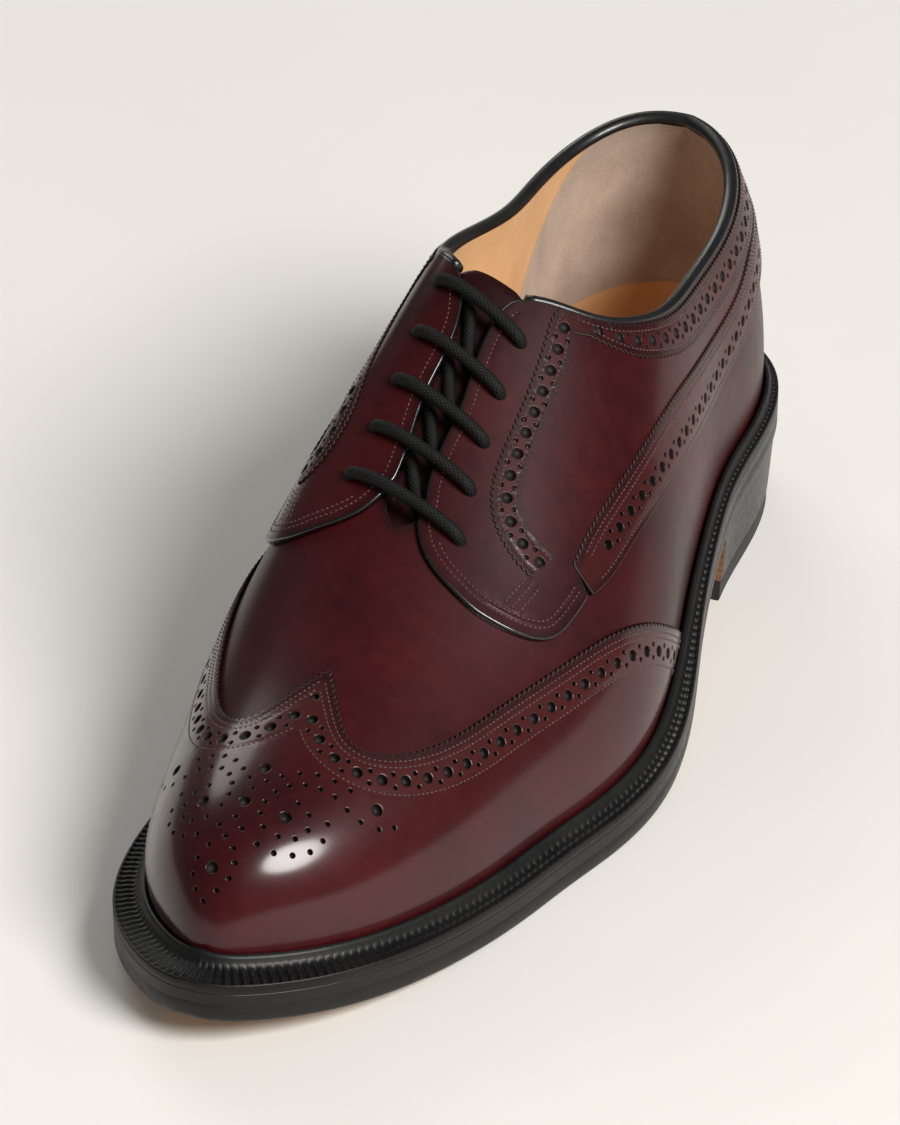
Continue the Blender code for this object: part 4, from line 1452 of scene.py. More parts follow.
@dataclass
class Stitching:
    """Rows of lock stitches, modelled once and copied along each row into one piece."""

    radius: float = 0.19
    length_share: float = 0.74
    dip: float = 0.22
    points: list[Array] = field(default_factory=list)

    def __post_init__(self) -> None:
        """Model the stitch from a small sphere, drawn out along X."""
        deselect()
        lying = (0.0, math.pi / 2, 0.0)
        bpy.ops.mesh.primitive_uv_sphere_add(segments=6, ring_count=4, radius=1.0, rotation=lying)
        stitch = bpy.context.object
        bpy.ops.object.transform_apply(location=True, rotation=True, scale=True)
        mesh = stitch.data
        # The operator's own order changes from run to run, so vertices and faces are sorted
        corners = np.array([v.co[:] for v in mesh.vertices])
        order = np.lexsort(np.round(corners, 3).T)
        rank = np.argsort(order).tolist()
        loops = [[rank[k] for k in p.vertices] for p in mesh.polygons]
        starts = [loop.index(min(loop)) for loop in loops]
        self.shape = corners[order]
        self.loops = sorted(loop[k:] + loop[:k] for loop, k in zip(loops, starts))
        bpy.data.objects.remove(stitch)
        bpy.data.meshes.remove(mesh)

    def row(self, skin: Skin, line: Array, height: Callable[[Array], Array], pitch: float = 1.3) -> None:
        """Add a row of stitches.

        Args:
            skin: surface that the row lies on.
            line: coordinates along the row.
            height: height of the leather above the last.
            pitch: distance from stitch to stitch.
        """
        knots = skin.resample(line, pitch)
        middle = (knots[1:] + knots[:-1]) / 2
        ends = skin.point(knots, height(knots))
        run = ends[1:] - ends[:-1]
        centre = (ends[1:] + ends[:-1]) / 2
        up = skin.normal(middle)
        ahead = unit(run)
        across = np.cross(up, ahead)
        half = 0.5 * self.length_share * np.linalg.norm(run, axis=1)
        x, y, z = self.shape.T
        place = centre[:, None, :] + ahead[:, None, :] * (half[:, None] * x[None, :])[:, :, None]
        place = place + across[:, None, :] * (self.radius * y)[None, :, None]
        lift = self.radius * z + 0.10 - self.dip * x**2
        self.points.append(place + up[:, None, :] * lift[None, :, None])

    def build(self, name: str, finish: Material) -> Object:
        """Join all rows into one piece."""
        points = np.concatenate(self.points)
        size = points.shape[1]
        faces = [[k + i * size for k in loop] for i in range(len(points)) for loop in self.loops]
        return make_mesh(name, points.reshape(-1, 3), faces, [finish])


def level(height: float) -> Callable[[Array], Array]:
    """A sheet face at the same height all over."""
    return lambda q: np.full(len(q), height)


def inward(skin: Skin, outline: Array, line: Array, distance: float) -> Array:
    """A line moved into the sheet from its edge."""
    probe = skin.aside(line, 0.5)
    within = inside(skin.flat(probe[len(probe) // 2 :][:1]), skin.flat(outline))[0]
    return skin.aside(line, distance if within else -distance)


@dataclass
class Uppers:
    """The leather of the upper: vamp, wing cap, quarters, heel strap and punched band."""

    last: Last
    fin: Finishes
    lip_clear: float = STORM_LIP + 0.4
    tuck: float = 2.6
    strip: float = 9.6
    eyelet_radius: float = 1.75
    pattern_shift: float = -1.5
    pattern_width: float = 0.94
    band_gap: float = 0.008
    band_seam: float = 1.4
    band_pitch: float = 6.1
    double_row: tuple[float, float] = (1.45, 2.95)
    wing_row: float = 6.2
    strap_row: float = 5.6
    toe_large: float = 1.65
    toe_small: float = 0.8
    peak_station: float = 237.2
    peak_radius: float = 1.3

    def __post_init__(self) -> None:
        """Lay both charts on the last."""
        self.over, self.round = Skin(self.last, Lay.OVER), Skin(self.last, Lay.ROUND)

    def lay(
        self, sheet: Sheet, name: str, slot: str, calf: Material, stitching: Stitching, *nodes: str
    ) -> None:
        """Make a sheet with its stitches.

        Args:
            sheet: the sheet.
            name: the piece's name.
            slot: record slot of its leather; not used.
            calf: finish of its outer face.
            stitching: stitches that its seams are added to.
            nodes: nodes that it stands for.
        """
        edge = self.fin.edge_dye if name.startswith("quarter") else self.fin.cut_edge
        item = sheet.build(name, [calf, edge, self.fin.pit, self.fin.flesh])
        finish_piece(item, slot, *nodes)
        for seam in sheet.seams:
            stitching.row(sheet.skin, seam, lambda q: sheet.top(q) - sheet.press)

    def setback(self, side: int) -> float:
        """How much further back a side's flap sits."""
        return MEDIAL_FLAP_SETBACK if side == MEDIAL else 0.0

    def eyelets(self, side: int, skin: Skin) -> list[Hole]:
        """Eyelets of one side."""
        holes = []
        for eyelet in (row.on(side) for row in EYELETS):
            turn = turn_of(eyelet.station)
            share = self.last.share_at_reach(side, turn, eyelet.reach)
            holes.append(Hole(tuple(skin.at(side, turn, share)[0]), self.eyelet_radius, True))
        return holes

    def build_vamp(self) -> None:
        """Hollow upper with its lining, open at the collar, the throat and underneath."""
        skin, last = self.over, self.last
        along = np.linspace(0.0, math.pi, 130)
        shares = np.linspace(0.0, 1.0, 24)
        stations = [np.linspace(FEATHER_HEEL, 105.0, 50), np.linspace(107.0, THROAT_STATION, 60)]
        collar = turn_of(np.concatenate(stations))
        seam = shares * float(last.rim(MEDIAL, 0.0)[0])
        loop = np.vstack([
            skin.at(LATERAL, along, 0.0),
            skin.at(MEDIAL, along[::-1], 0.0),
            skin.at(MEDIAL, 0.0, seam[1:-1]),
            skin.at(MEDIAL, collar, last.rim(MEDIAL, collar)),
            skin.at(LATERAL, collar[::-1], last.rim(LATERAL, collar[::-1]))[1:],
            skin.at(LATERAL, 0.0, seam[1:-1][::-1]),
        ])
        holes = self.eyelets(MEDIAL, skin) + self.eyelets(LATERAL, skin)
        sheet = Sheet(skin, loop, level(0.0), level(-UPPER_WALL), 3.2, 0.3, holes, open_seam=True)
        finishes = [self.fin.vamp_calf, self.fin.edge_dye, self.fin.pit, self.fin.lining]
        finish_piece(sheet.build("vamp_and_lining", finishes), "upper_leather", "upper")

    def wing_edge(self, side: int) -> Array:
        """Back edge of the wing cap on one side, from its peak down behind the storm lip."""
        edge = Spline(*zip(*WING))
        rises = np.linspace(1.0, -0.10, 120)
        turns = turn_of(edge(rises))
        lip = self.last.share_at_rise(side, turns, self.lip_clear)
        shares = lip + (1 - lip) * rises
        tuck = self.last.share_at_rise(side, turns, self.tuck)
        keep = shares >= tuck
        return self.over.at(side, turns[keep], shares[keep])

    def cap_top(self, q: Array) -> Array:
        """Height of the cap's face, thinned where it goes down behind the storm lip."""
        side, turn, share = self.over.split(q)
        rise = self.last.point(side, turn, share)[:, 2] - self.last.foot_height(turn) - STORM_LIP
        return 0.35 + (CAP_TOP - 0.35) * ease(rise, -0.5, 7.0)

    def toe_pattern(self) -> list[Hole]:
        """Decorative holes on the toe, the same on both sides of the ridge."""
        holes = []
        for punch in TOE_PATTERN:
            turn = np.atleast_1d(turn_of(punch.station))
            ridge = self.last.ridge(turn)[0, 0]
            radius = self.toe_large if punch.large else self.toe_small
            for aside in {punch.aside * self.pattern_width, -punch.aside * self.pattern_width}:
                target = ridge + self.pattern_shift + aside
                side = LATERAL if target >= ridge else MEDIAL
                test = lambda p, s=side, x=target: s * (p[:, 0] - x) > 0
                share = self.last.solve_share(side, turn, 0.2, test)
                holes.append(Hole(tuple(self.over.at(side, turn, share)[0]), radius))
        return holes

    def build_wing_cap(self, stitching: Stitching) -> None:
        """Wing cap over the toe with its punched strip and toe pattern."""
        skin, last = self.over, self.last
        crest = np.linspace(turn_of(270.0), math.pi, 400)
        tip = float(np.interp(-self.tuck, last.foot_height(crest) - last.ridge(crest)[:, 2], crest))
        edges, hems, holes, seams = {}, {}, self.toe_pattern(), []
        for side in (LATERAL, MEDIAL):
            edges[side] = self.wing_edge(side)
            start = edges[side][-1, 0]
            turns = start + (tip - start) * np.sin(np.linspace(0.0, math.pi / 2, 110))
            hems[side] = skin.at(side, turns, last.share_at_rise(side, turns, self.tuck))[1:-1]
        cut = {side: gimped(skin, edges[side]) for side in edges}
        toe = skin.at(LATERAL, tip, 1.0)
        outline = np.vstack([cut[LATERAL], hems[LATERAL], toe, hems[MEDIAL][::-1], cut[MEDIAL][::-1][:-1]])
        for side in (LATERAL, MEDIAL):
            for distance in (*self.double_row, self.strip):
                line = skin.aside(edges[side], -side * distance)
                seams.append(line[(line[:, 1] * side > 0.002) & (line[:, 0] > 0)])
            row = skin.aside(edges[side], -side * self.wing_row)
            row = row[row[:, 1] * side > 0.030]
            row = skin.resample(row, 1.0)
            low = last.share_at_rise(side, row[:, 0], STORM_LIP + 3.0)
            holes += brogue_row(skin, row[skin.split(row)[2] > low])
        peak = skin.at(LATERAL, turn_of(self.peak_station), 1.0)[0]
        holes.append(Hole(tuple(peak), self.peak_radius))
        line = np.vstack([edges[LATERAL][::-1], edges[MEDIAL]])
        sheet = Sheet(skin, outline, self.cap_top, level(LAYER_FOOT), 2.8, 0.3, holes, seams)
        sheet.tint_line, sheet.tint_width = skin.resample(line, 2.0), self.strip
        self.lay(sheet, "wing_cap_leather", "upper_leather", self.fin.toe_calf, stitching, "wing_cap")

    def flap_edge(self, side: int) -> Array:
        """Front edge of a quarter's flap, from its back corner round to the facing."""
        steps = np.arange(len(FLAP_FRONT))
        fine = np.linspace(0, len(FLAP_FRONT) - 1, 90)
        station, share = (Spline(steps, column)(fine) for column in zip(*FLAP_FRONT))
        return self.round.at(side, turn_of(station - self.setback(side)), share)

    def facing_edge(self, side: int) -> Array:
        """Edge of a quarter beside the lacing, from the flap to the collar's front."""
        setback = self.setback(side)
        turns = turn_of(np.linspace(183.0 - setback, 131.0, 40))
        return self.round.at(side, turns, self.last.rim(side, turns))

    def build_quarter(self, side: int, stitching: Stitching) -> None:
        """Quarter with the laced flap over the vamp."""
        skin, last = self.round, self.last
        setback = self.setback(side)
        turns = turn_of(np.linspace(FEATHER_HEEL + 0.02, 171.6 - setback, 90))
        low = last.strap_edges(side, turns)[1] - 0.022
        flap, facing = self.flap_edge(side), self.facing_edge(side)
        back = turn_of(np.linspace(130.0, FEATHER_HEEL + 0.02, 100))
        collar = skin.at(side, back, last.rim(side, back))
        outline = np.vstack([skin.at(side, turns, low), flap, facing, collar])
        outline = skin.resample(outline, 1.1, True)
        edge = np.vstack([flap, facing[:-2]])
        seams = [inward(skin, outline, edge, 2.3), inward(skin, outline, flap[:-8], 3.9)]
        bar_turn, bar_share = turn_of(np.linspace(182.2, 190.6, 8) - setback), np.linspace(0.616, 0.628, 8)
        bar = skin.at(side, bar_turn, bar_share)
        seams += [bar, skin.aside(bar, 2.0), skin.aside(bar, -2.0)]
        holes = self.eyelets(side, skin)
        sheet = Sheet(skin, outline, level(QUARTER_TOP), level(LAYER_FOOT), 2.8, 0.55, holes, seams)
        word, calf = SIDE_WORDS[side], self.fin.calf
        self.lay(sheet, "quarter_leather_" + word, "upper_leather", calf, stitching, "quarter_" + word)

    def build_strap(self, stitching: Stitching) -> None:
        """Heel strap, from one flap round the heel to the other."""
        skin, last = self.round, self.last
        front = {LATERAL: 171.2, MEDIAL: 171.2 - MEDIAL_FLAP_SETBACK}
        signed = np.linspace(float(turn_of(front[LATERAL])), -float(turn_of(front[MEDIAL])), 240)
        side, turns = side_of(signed), np.abs(signed)
        low, high = last.strap_edges(side, turns)

        def line(share: float) -> Array:
            """Line along the strap, from 0 at its foot to 1 at its top."""
            return np.stack([signed, low + (high - low) * share], axis=-1)

        def top(q: Array) -> Array:
            """Height of the strap's face, lower where it lies on the vamp alone."""
            at_side, at_turn, share = skin.split(q)
            foot, head = last.strap_edges(at_side, at_turn)
            rise = ease((share - foot) / (head - foot), -0.2, 0.9)
            return STRAP_FOOT_TOP + (STRAP_TOP - STRAP_FOOT_TOP) * rise

        upper, lower = line(1.0), line(0.0)
        outline = np.vstack([gimped(skin, upper), skin.resample(lower[::-1], 1.1)])
        seams = [inward(skin, outline, upper, d)[2:-2] for d in self.double_row]
        seams.append(inward(skin, outline, lower, 1.5)[2:-2])
        row = inward(skin, outline, lower, self.strap_row)
        holes = brogue_row(skin, skin.resample(row[6:-6], 1.0))
        sheet = Sheet(skin, outline, top, level(LAYER_FOOT), 2.8, 0.3, holes, seams)
        self.lay(sheet, "heel_strap_leather", "band_leather", self.fin.strip_calf, stitching, "heel_strap")

    def band_leg(self, side: int) -> dict[str, Array]:
        """Front and back lines of the punched band beside one row of eyelets, from the collar down."""
        setback = self.setback(side)
        word = SIDE_WORDS[side]
        steps = np.arange(len(FACING_BAND) + 1)
        fine = np.linspace(0, len(FACING_BAND), 80)
        lines = {}
        for edge, head, drop in (("front", 127.4, 0.0), ("back", 128.6, COLLAR_BAND_WIDTH)):
            top = float(self.last.rim(side, turn_of(head - setback))[0]) - self.band_gap - drop
            stations = [head] + [getattr(row, edge + "_station") for row in FACING_BAND]
            shares = [top] + [getattr(row, edge + "_" + word) for row in FACING_BAND]
            turns = turn_of(Spline(steps, stations)(fine) - setback)
            lines[edge] = self.round.at(side, turns, Spline(steps, shares)(fine))
        return lines

    def build_band(self, stitching: Stitching) -> None:
        """Punched band in one piece: up beside the eyelets, round below the collar and down again."""
        skin, last = self.round, self.last
        legs = {side: self.band_leg(side) for side in (LATERAL, MEDIAL)}

        def collar(edge: str, drop: float) -> Array:
            """Line below the collar, from one leg round the heel to the other."""
            signed = np.linspace(legs[LATERAL][edge][0, 0], legs[MEDIAL][edge][0, 0], 200)
            side = side_of(signed)
            return np.stack([signed, last.rim(side, np.abs(signed)) - self.band_gap - drop], axis=-1)

        head, foot = collar("front", 0.0), collar("back", COLLAR_BAND_WIDTH)
        outer = [legs[LATERAL]["front"][::-1], head, legs[MEDIAL]["front"]]
        inner = [legs[MEDIAL]["back"][::-1], foot[::-1], legs[LATERAL]["back"]]
        outline = np.vstack([gimped(skin, line[1:-1], depth=0.35) for line in outer + inner])
        seams = [inward(skin, outline, line, self.band_seam)[1:-1] for line in outer + inner]
        middles = [((head + foot) / 2)[2:-2]]
        middles += [((leg["front"] + leg["back"]) / 2)[4:-3] for leg in legs.values()]
        holes = []
        for middle in middles:
            holes += brogue_row(skin, skin.resample(middle, 1.0), self.band_pitch)
        sheet = Sheet(skin, outline, level(BAND_TOP), level(QUARTER_TOP - 0.1), 2.4, 0.22, holes, seams)
        nodes = [kind + word for kind in ("facing_band_", "collar_band_") for word in SIDE_WORDS.values()]
        self.lay(sheet, "punched_band_leather", "band_leather", self.fin.strip_calf, stitching, *nodes)

    def build(self) -> None:
        """Build every sheet and its stitches."""
        self.build_vamp()
        groups = {name: Stitching() for name in ("wing", "quarter", "strap", "band")}
        self.build_wing_cap(groups["wing"])
        self.build_strap(groups["strap"])
        for side in (MEDIAL, LATERAL):
            self.build_quarter(side, groups["quarter"])
        self.build_band(groups["band"])
        for name, rows in groups.items():
            finish_piece(rows.build(name + "_stitches", self.fin.thread), "upper_leather")


def sweep(path: Array, across: Array, up: Array, outline: Array) -> tuple[Array, list[list[int]]]:
    """Points and faces of a section carried along a path, with flat ends.

    Args:
        path: points of the middle line.
        across: sideways direction at each point.
        up: other direction of the section at each point.
        outline: the section's points, sideways and up.

    Returns:
        Points and faces.
    """
    rings = path[:, None, :] + across[:, None, :] * outline[None, :, :1]
    rings = rings + up[:, None, :] * outline[None, :, 1:]
    size, count = len(outline), len(path)
    faces = loft(rings, False)
    faces.append(list(range(size))[::-1])
    faces.append([(count - 1) * size + k for k in range(size)])
    return rings.reshape(-1, 3), faces


def carried_frame(path: Array, start: Array) -> tuple[Array, Array]:
    """Sideways and up directions carried along a path without twist."""
    run = unit(np.gradient(path, axis=0))
    across, up = np.zeros_like(path), np.zeros_like(path)
    side = start
    for i, ahead in enumerate(run):
        side = side - ahead * (side @ ahead)
        side = side / np.linalg.norm(side)
        across[i], up[i] = side, np.cross(ahead, side)
    return across, up


def through(points: Array, count: int) -> Array:
    """Smooth curve through points, with an even spacing."""
    run = run_along(points)
    fine = np.linspace(0.0, run[-1], count)
    return np.stack([Spline(run, points[:, k])(fine) for k in range(3)], axis=-1)


@dataclass
class Collar:
    """Rolled binding over the collar's edge."""

    last: Last
    fin: Finishes
    wide: float = 1.9
    tall: float = 1.5
    lift: float = 0.6

    def build(self) -> None:
        """Sweep an oval roll along the rim from one facing round the heel to the other."""
        skin, last = Skin(self.last, Lay.ROUND), self.last
        end = float(turn_of(BINDING_FRONT + 3.0))
        signed = np.linspace(-end, end, 360)
        side, turns = side_of(signed), np.abs(signed)
        q = np.stack([signed, last.rim(side, turns)], axis=-1)
        middle = skin.point(q, (QUARTER_TOP - UPPER_WALL) / 2)
        ahead = unit(np.gradient(middle, axis=0))
        across = skin.normal(q)
        across = unit(across - ahead * np.sum(across * ahead, axis=1)[:, None])
        up = np.cross(across, ahead)
        up *= np.sign(np.sum(up * skin.slopes(q)[1], axis=1))[:, None]
        angles = np.linspace(0.0, 2 * math.pi, 24, endpoint=False)
        outline = np.stack([self.wide * np.cos(angles), self.tall * np.sin(angles)], axis=-1)
        points, faces = sweep(middle + up * self.lift, across, up, outline)
        item = make_mesh("rolled_binding", points, faces, [self.fin.binding])
        finish_piece(merge_and_turn(item), "binding_leather", "collar_binding")


@dataclass
class Inside:
    """Tongue and insole."""

    last: Last
    fin: Finishes
    tongue_top: float = 128.5

    def pad(self, name: str, top: Array, low: Array, finish: Material) -> Object:
        """A closed piece between an upper and an under face."""
        rings = np.concatenate([top, low[:, ::-1]], axis=1)
        faces = loft(rings, False) + end_caps(rings)
        return merge_and_turn(make_mesh(name, rings.reshape(-1, 3), faces, [finish]))

    def build_tongue(self) -> None:
        """Tongue under the lacing, its round top standing above the facings."""
        skin, last = Skin(self.last, Lay.OVER), self.last
        width = Spline(*zip(*TONGUE))
        stations = np.concatenate([np.linspace(self.tongue_top, 135.5, 14), np.linspace(138.0, 197.0, 26)])
        shares = np.linspace(-1.0, 1.0, 25)
        rows = []
        for station in stations:
            turn = np.full(len(shares), float(turn_of(station)))
            side = side_of(shares)
            half = width(station - self.tongue_top + TONGUE[0][0])
            reach = np.abs(shares) * float(np.clip(half, 5.0, 19.0))
            share = last.share_at_reach(side, turn, np.maximum(reach, 1e-4))
            rows.append(np.stack([turn, side * (1 - share)], axis=-1))
        q = np.array(rows)
        flat = q.reshape(-1, 2)
        edge = np.abs(np.tile(shares, len(stations)))
        ends = np.minimum(np.repeat(stations, len(shares)) - stations[0], 2.0) / 2.0
        thin = 0.5 * (1 - ease(edge, 0.86, 1.0) * 0.8) * (0.25 + 0.75 * np.sqrt(ends))
        middle = -TONGUE_DROP - TONGUE_WALL / 2
        top = skin.point(flat, middle + TONGUE_WALL * thin).reshape(*q.shape[:2], 3)
        low = skin.point(flat, middle - TONGUE_WALL * thin).reshape(*q.shape[:2], 3)
        finish_piece(self.pad("tongue_leather", top, low, self.fin.calf), "upper_leather", "tongue")

    def build_insole(self) -> None:
        """Insole sock, a little hollowed along its middle."""
        last = self.last
        turns = np.linspace(0.004, math.pi - 0.004, 110)
        shares = np.linspace(0.0, 1.0, 21)
        inset = UPPER_WALL + 3 * CLEARANCE
        ends = [last.foot(s, turns) - last.plan_normal(s, turns) * inset for s in (MEDIAL, LATERAL)]
        across = shares[None, :, None]
        span = ends[0][:, None, :] * (1 - across) + ends[1][:, None, :] * across
        top, low = span.copy(), span.copy()
        floor = (last.sole_top(turns) + CLEARANCE)[:, None]
        bowl = 0.9 * (np.abs(2 * shares - 1) ** 3)[None, :]
        top[:, :, 2] = floor + INSOLE - 0.5 + bowl
        low[:, :, 2] = floor
        finish_piece(self.pad("insole_sock", top, low, self.fin.sock), "insole_leather", "insole")

    def build(self) -> None:
        """Build both."""
        self.build_tongue()
        self.build_insole()


@dataclass
class Lacing:
    """One round lace, laid in straight bars and run under the facings from eyelet to eyelet."""

    last: Last
    fin: Finishes
    sides: int = 14
    under: float = -2.3

    def __post_init__(self) -> None:
        """Lay the chart over the last."""
        self.skin = Skin(self.last, Lay.OVER)

    def spot(self, side: int, eyelet: Eyelet, share: float, height: float) -> Array:
        """Point at a share of an eyelet's reach from the ridge, at a height above the last."""
        own, other = eyelet.on(side), eyelet.on(-side)
        middle = (own.station + other.station) / 2
        turn = turn_of(middle + (own.station - middle) * share)
        place = self.last.share_at_reach(side, turn, max(0.02, own.reach * share))
        return self.skin.point(self.skin.at(side, turn, place), np.array([height]))[0]

    def bar(self, eyelet: Eyelet) -> list[Array]:
        """Points of one bar, from inside the medial eyelet over to inside the lateral one."""
        rise = QUARTER_TOP + LACE_RADIUS
        steps = ((1.06, self.under), (1.05, 0.6), (0.96, rise - 0.55), (0.72, rise + 0.25))
        points = [self.spot(MEDIAL, eyelet, share, height) for share, height in steps]
        crown = self.spot(LATERAL, eyelet, 0.0, rise + 0.2)
        left, right = (self.spot(side, eyelet, 0.4, rise + 0.3) for side in (MEDIAL, LATERAL))
        points += [left, crown * 0.6 + (left + right) * 0.2, right]
        return points + [self.spot(LATERAL, eyelet, share, height) for share, height in reversed(steps)]

    def build(self) -> None:
        """Sweep the lace along its whole run."""
        route: list[Array] = []
        for k, eyelet in enumerate(EYELETS):
            route += self.bar(eyelet)
            if k + 1 < len(EYELETS):
                ahead = EYELETS[k + 1]
                under = self.under - 0.2
                route.append(self.spot(LATERAL, eyelet, 0.55, under))
                ends = self.spot(LATERAL, eyelet, 0.1, under), self.spot(MEDIAL, ahead, 0.1, under)
                route.append((ends[0] + ends[1]) / 2)
                route.append(self.spot(MEDIAL, ahead, 0.55, under))
        path = through(np.array(route), 760)
        across, up = carried_frame(path, np.array([0.0, -1.0, 0.0]))
        angles = np.linspace(0.0, 2 * math.pi, self.sides, endpoint=False)
        outline = LACE_RADIUS * np.stack([np.cos(angles), np.sin(angles)], axis=-1)
        points, faces = sweep(path, across, up, outline)
        run = run_along(path)
        marks = {
            "lace_along": np.repeat(run, self.sides),
            "lace_sine": np.tile(np.sin(angles), len(path)),
            "lace_cosine": np.tile(np.cos(angles), len(path)),
        }
        item = make_mesh("lace", points, faces, [self.fin.lace], marks=marks)
        nodes = ["lace_bar_%d" % (k + 1) for k in range(len(EYELETS))]
        finish_piece(merge_and_turn(item), "lace_cotton", *nodes)


@dataclass
class Bottom:
    """Outsole, midsole, ribbed storm welt and heel."""

    last: Last
    fin: Finishes
    rib_pitch: float = 2.3
    rib_depth: float = 0.95
    sharp_angle: float = 38.0

    def layer(
        self, name: str, turns: Array, profile: Sequence[tuple[float, Callable[[Array], Array]]],
        finishes: Sequence[Material], flat_front: bool = False,
    ) -> Object:
        """A layer with the sole's outline.

        Args:
            name: the piece's name.
            turns: stations along the shoe, as turn angles.
            profile: the edge from the bottom up, each an inset and a height over the turn angle.
            finishes: materials of the wall, the bottom, and the front where there is one.
            flat_front: whether the layer ends in a straight breast.

        Returns:
            The new object.
        """
        last = self.last
        edges = {}
        for side in (MEDIAL, LATERAL):
            rows = []
            for inset, height in profile:
                points = last.sole_edge(side, turns, inset)
                points[:, 2] = height(turns)
                if flat_front:
                    points[-1, 1] = LENGTH / 2 - HEEL_BREAST - last.shift[1]
                rows.append(points)
            edges[side] = np.stack(rows, axis=1)
        shares = np.linspace(0.0, 1.0, 14)[1:-1][None, :, None]
        bottom = edges[LATERAL][:, :1] * (1 - shares) + edges[MEDIAL][:, :1] * shares
        top = edges[MEDIAL][:, -1:] * (1 - shares) + edges[LATERAL][:, -1:] * shares
        rings = np.concatenate([bottom, edges[MEDIAL], top, edges[LATERAL][:, ::-1]], axis=1)
        faces = loft(rings, False)
        size, across = rings.shape[1], bottom.shape[1]
        slots = [1 if k % size < across or k % size == size - 1 else 0 for k in range(len(faces))]
        if flat_front:
            faces.append([(len(rings) - 1) * size + k for k in range(size)])
            slots.append(2)
        item = make_mesh(name, rings.reshape(-1, 3), faces, finishes, slots)
        merge_and_turn(item)
        item.data.set_sharp_from_angle(angle=math.radians(self.sharp_angle))
        return item

    def build_sole(self) -> None:
        """Outsole and midsole."""
        last = self.last
        turns = np.linspace(0.0, math.pi, 170)
        edge = [(2.2, 0.0), (0.7, 0.12), (0.18, 0.55), (0.0, 1.3), (0.0, OUTSOLE), (0.06, OUTSOLE + 0.1)]
        profile = [(inset, lambda t, h=height: last.tread(t) + h) for inset, height in edge]
        item = self.layer("outsole_leather", turns, profile, [self.fin.sole_wall, self.fin.tread])
        finish_piece(item, "sole_leather", "outsole")
        base = OUTSOLE + 0.12
        edge = [(0.06, 0.0), (0.0, 0.06), (0.0, 3.24), (0.06, 3.30)]
        profile = [(inset, lambda t, h=height: last.tread(t) + base + h) for inset, height in edge]
        item = self.layer("midsole_leather", turns, profile, [self.fin.sole_wall, self.fin.sole_wall])
        finish_piece(item, "sole_leather", "midsole")

    def build_heel(self) -> None:
        """Heel stack with its bare breast, and the rubber top piece."""
        last = self.last
        turns = np.linspace(0.0, float(turn_of(HEEL_BREAST)), 70)
        taper = 0.75 * HEEL_TAPER + HEEL_INSET
        rise = TOP_PIECE + 0.12
        profile = [
            (taper + 0.4, lambda t: np.full(len(t), rise)),
            (taper, lambda t: np.full(len(t), rise + 0.35)),
            (HEEL_INSET, lambda t: last.tread(t) - 0.35),
            (HEEL_INSET + 0.4, lambda t: last.tread(t) + 0.05),
        ]
        finishes = [self.fin.heel_wall, self.fin.tread, self.fin.breast]
        item = self.layer("heel_stack_leather", turns, profile, finishes, True)
        finish_piece(item, "heel_leather", "heel_stack")
        edge = [(0.9, 0.0), (0.25, 0.12), (0.0, 0.6), (-0.1, TOP_PIECE - 0.4), (0.25, TOP_PIECE)]
        base = HEEL_TAPER + HEEL_INSET
        profile = [(base + inset, lambda t, h=height: np.full(len(t), h)) for inset, height in edge]
        item = self.layer("heel_top_rubber", turns, profile, [self.fin.rubber] * 3, True)
        finish_piece(item, "heel_rubber", "heel_top_piece")

    def perimeter(self, step: float) -> tuple[Array, Array, Array]:
        """Sides and turns round the whole welt at an even step, and the distance run."""
        turns = np.linspace(0.0, math.pi, 1500)
        side = np.concatenate([np.full(1500, LATERAL), np.full(1499, MEDIAL)])
        angle = np.concatenate([turns, turns[::-1][1:]])
        points = self.last.sole_edge(side, angle)
        run = run_along(points)
        count = int(run[-1] / step)
        even = np.arange(count) * run[-1] / count
        signed = np.concatenate([turns, 2 * math.pi - turns[::-1][1:]])
        place = np.interp(even, run, signed)
        outer = place <= math.pi
        return np.where(outer, LATERAL, MEDIAL), np.where(outer, place, 2 * math.pi - place), even

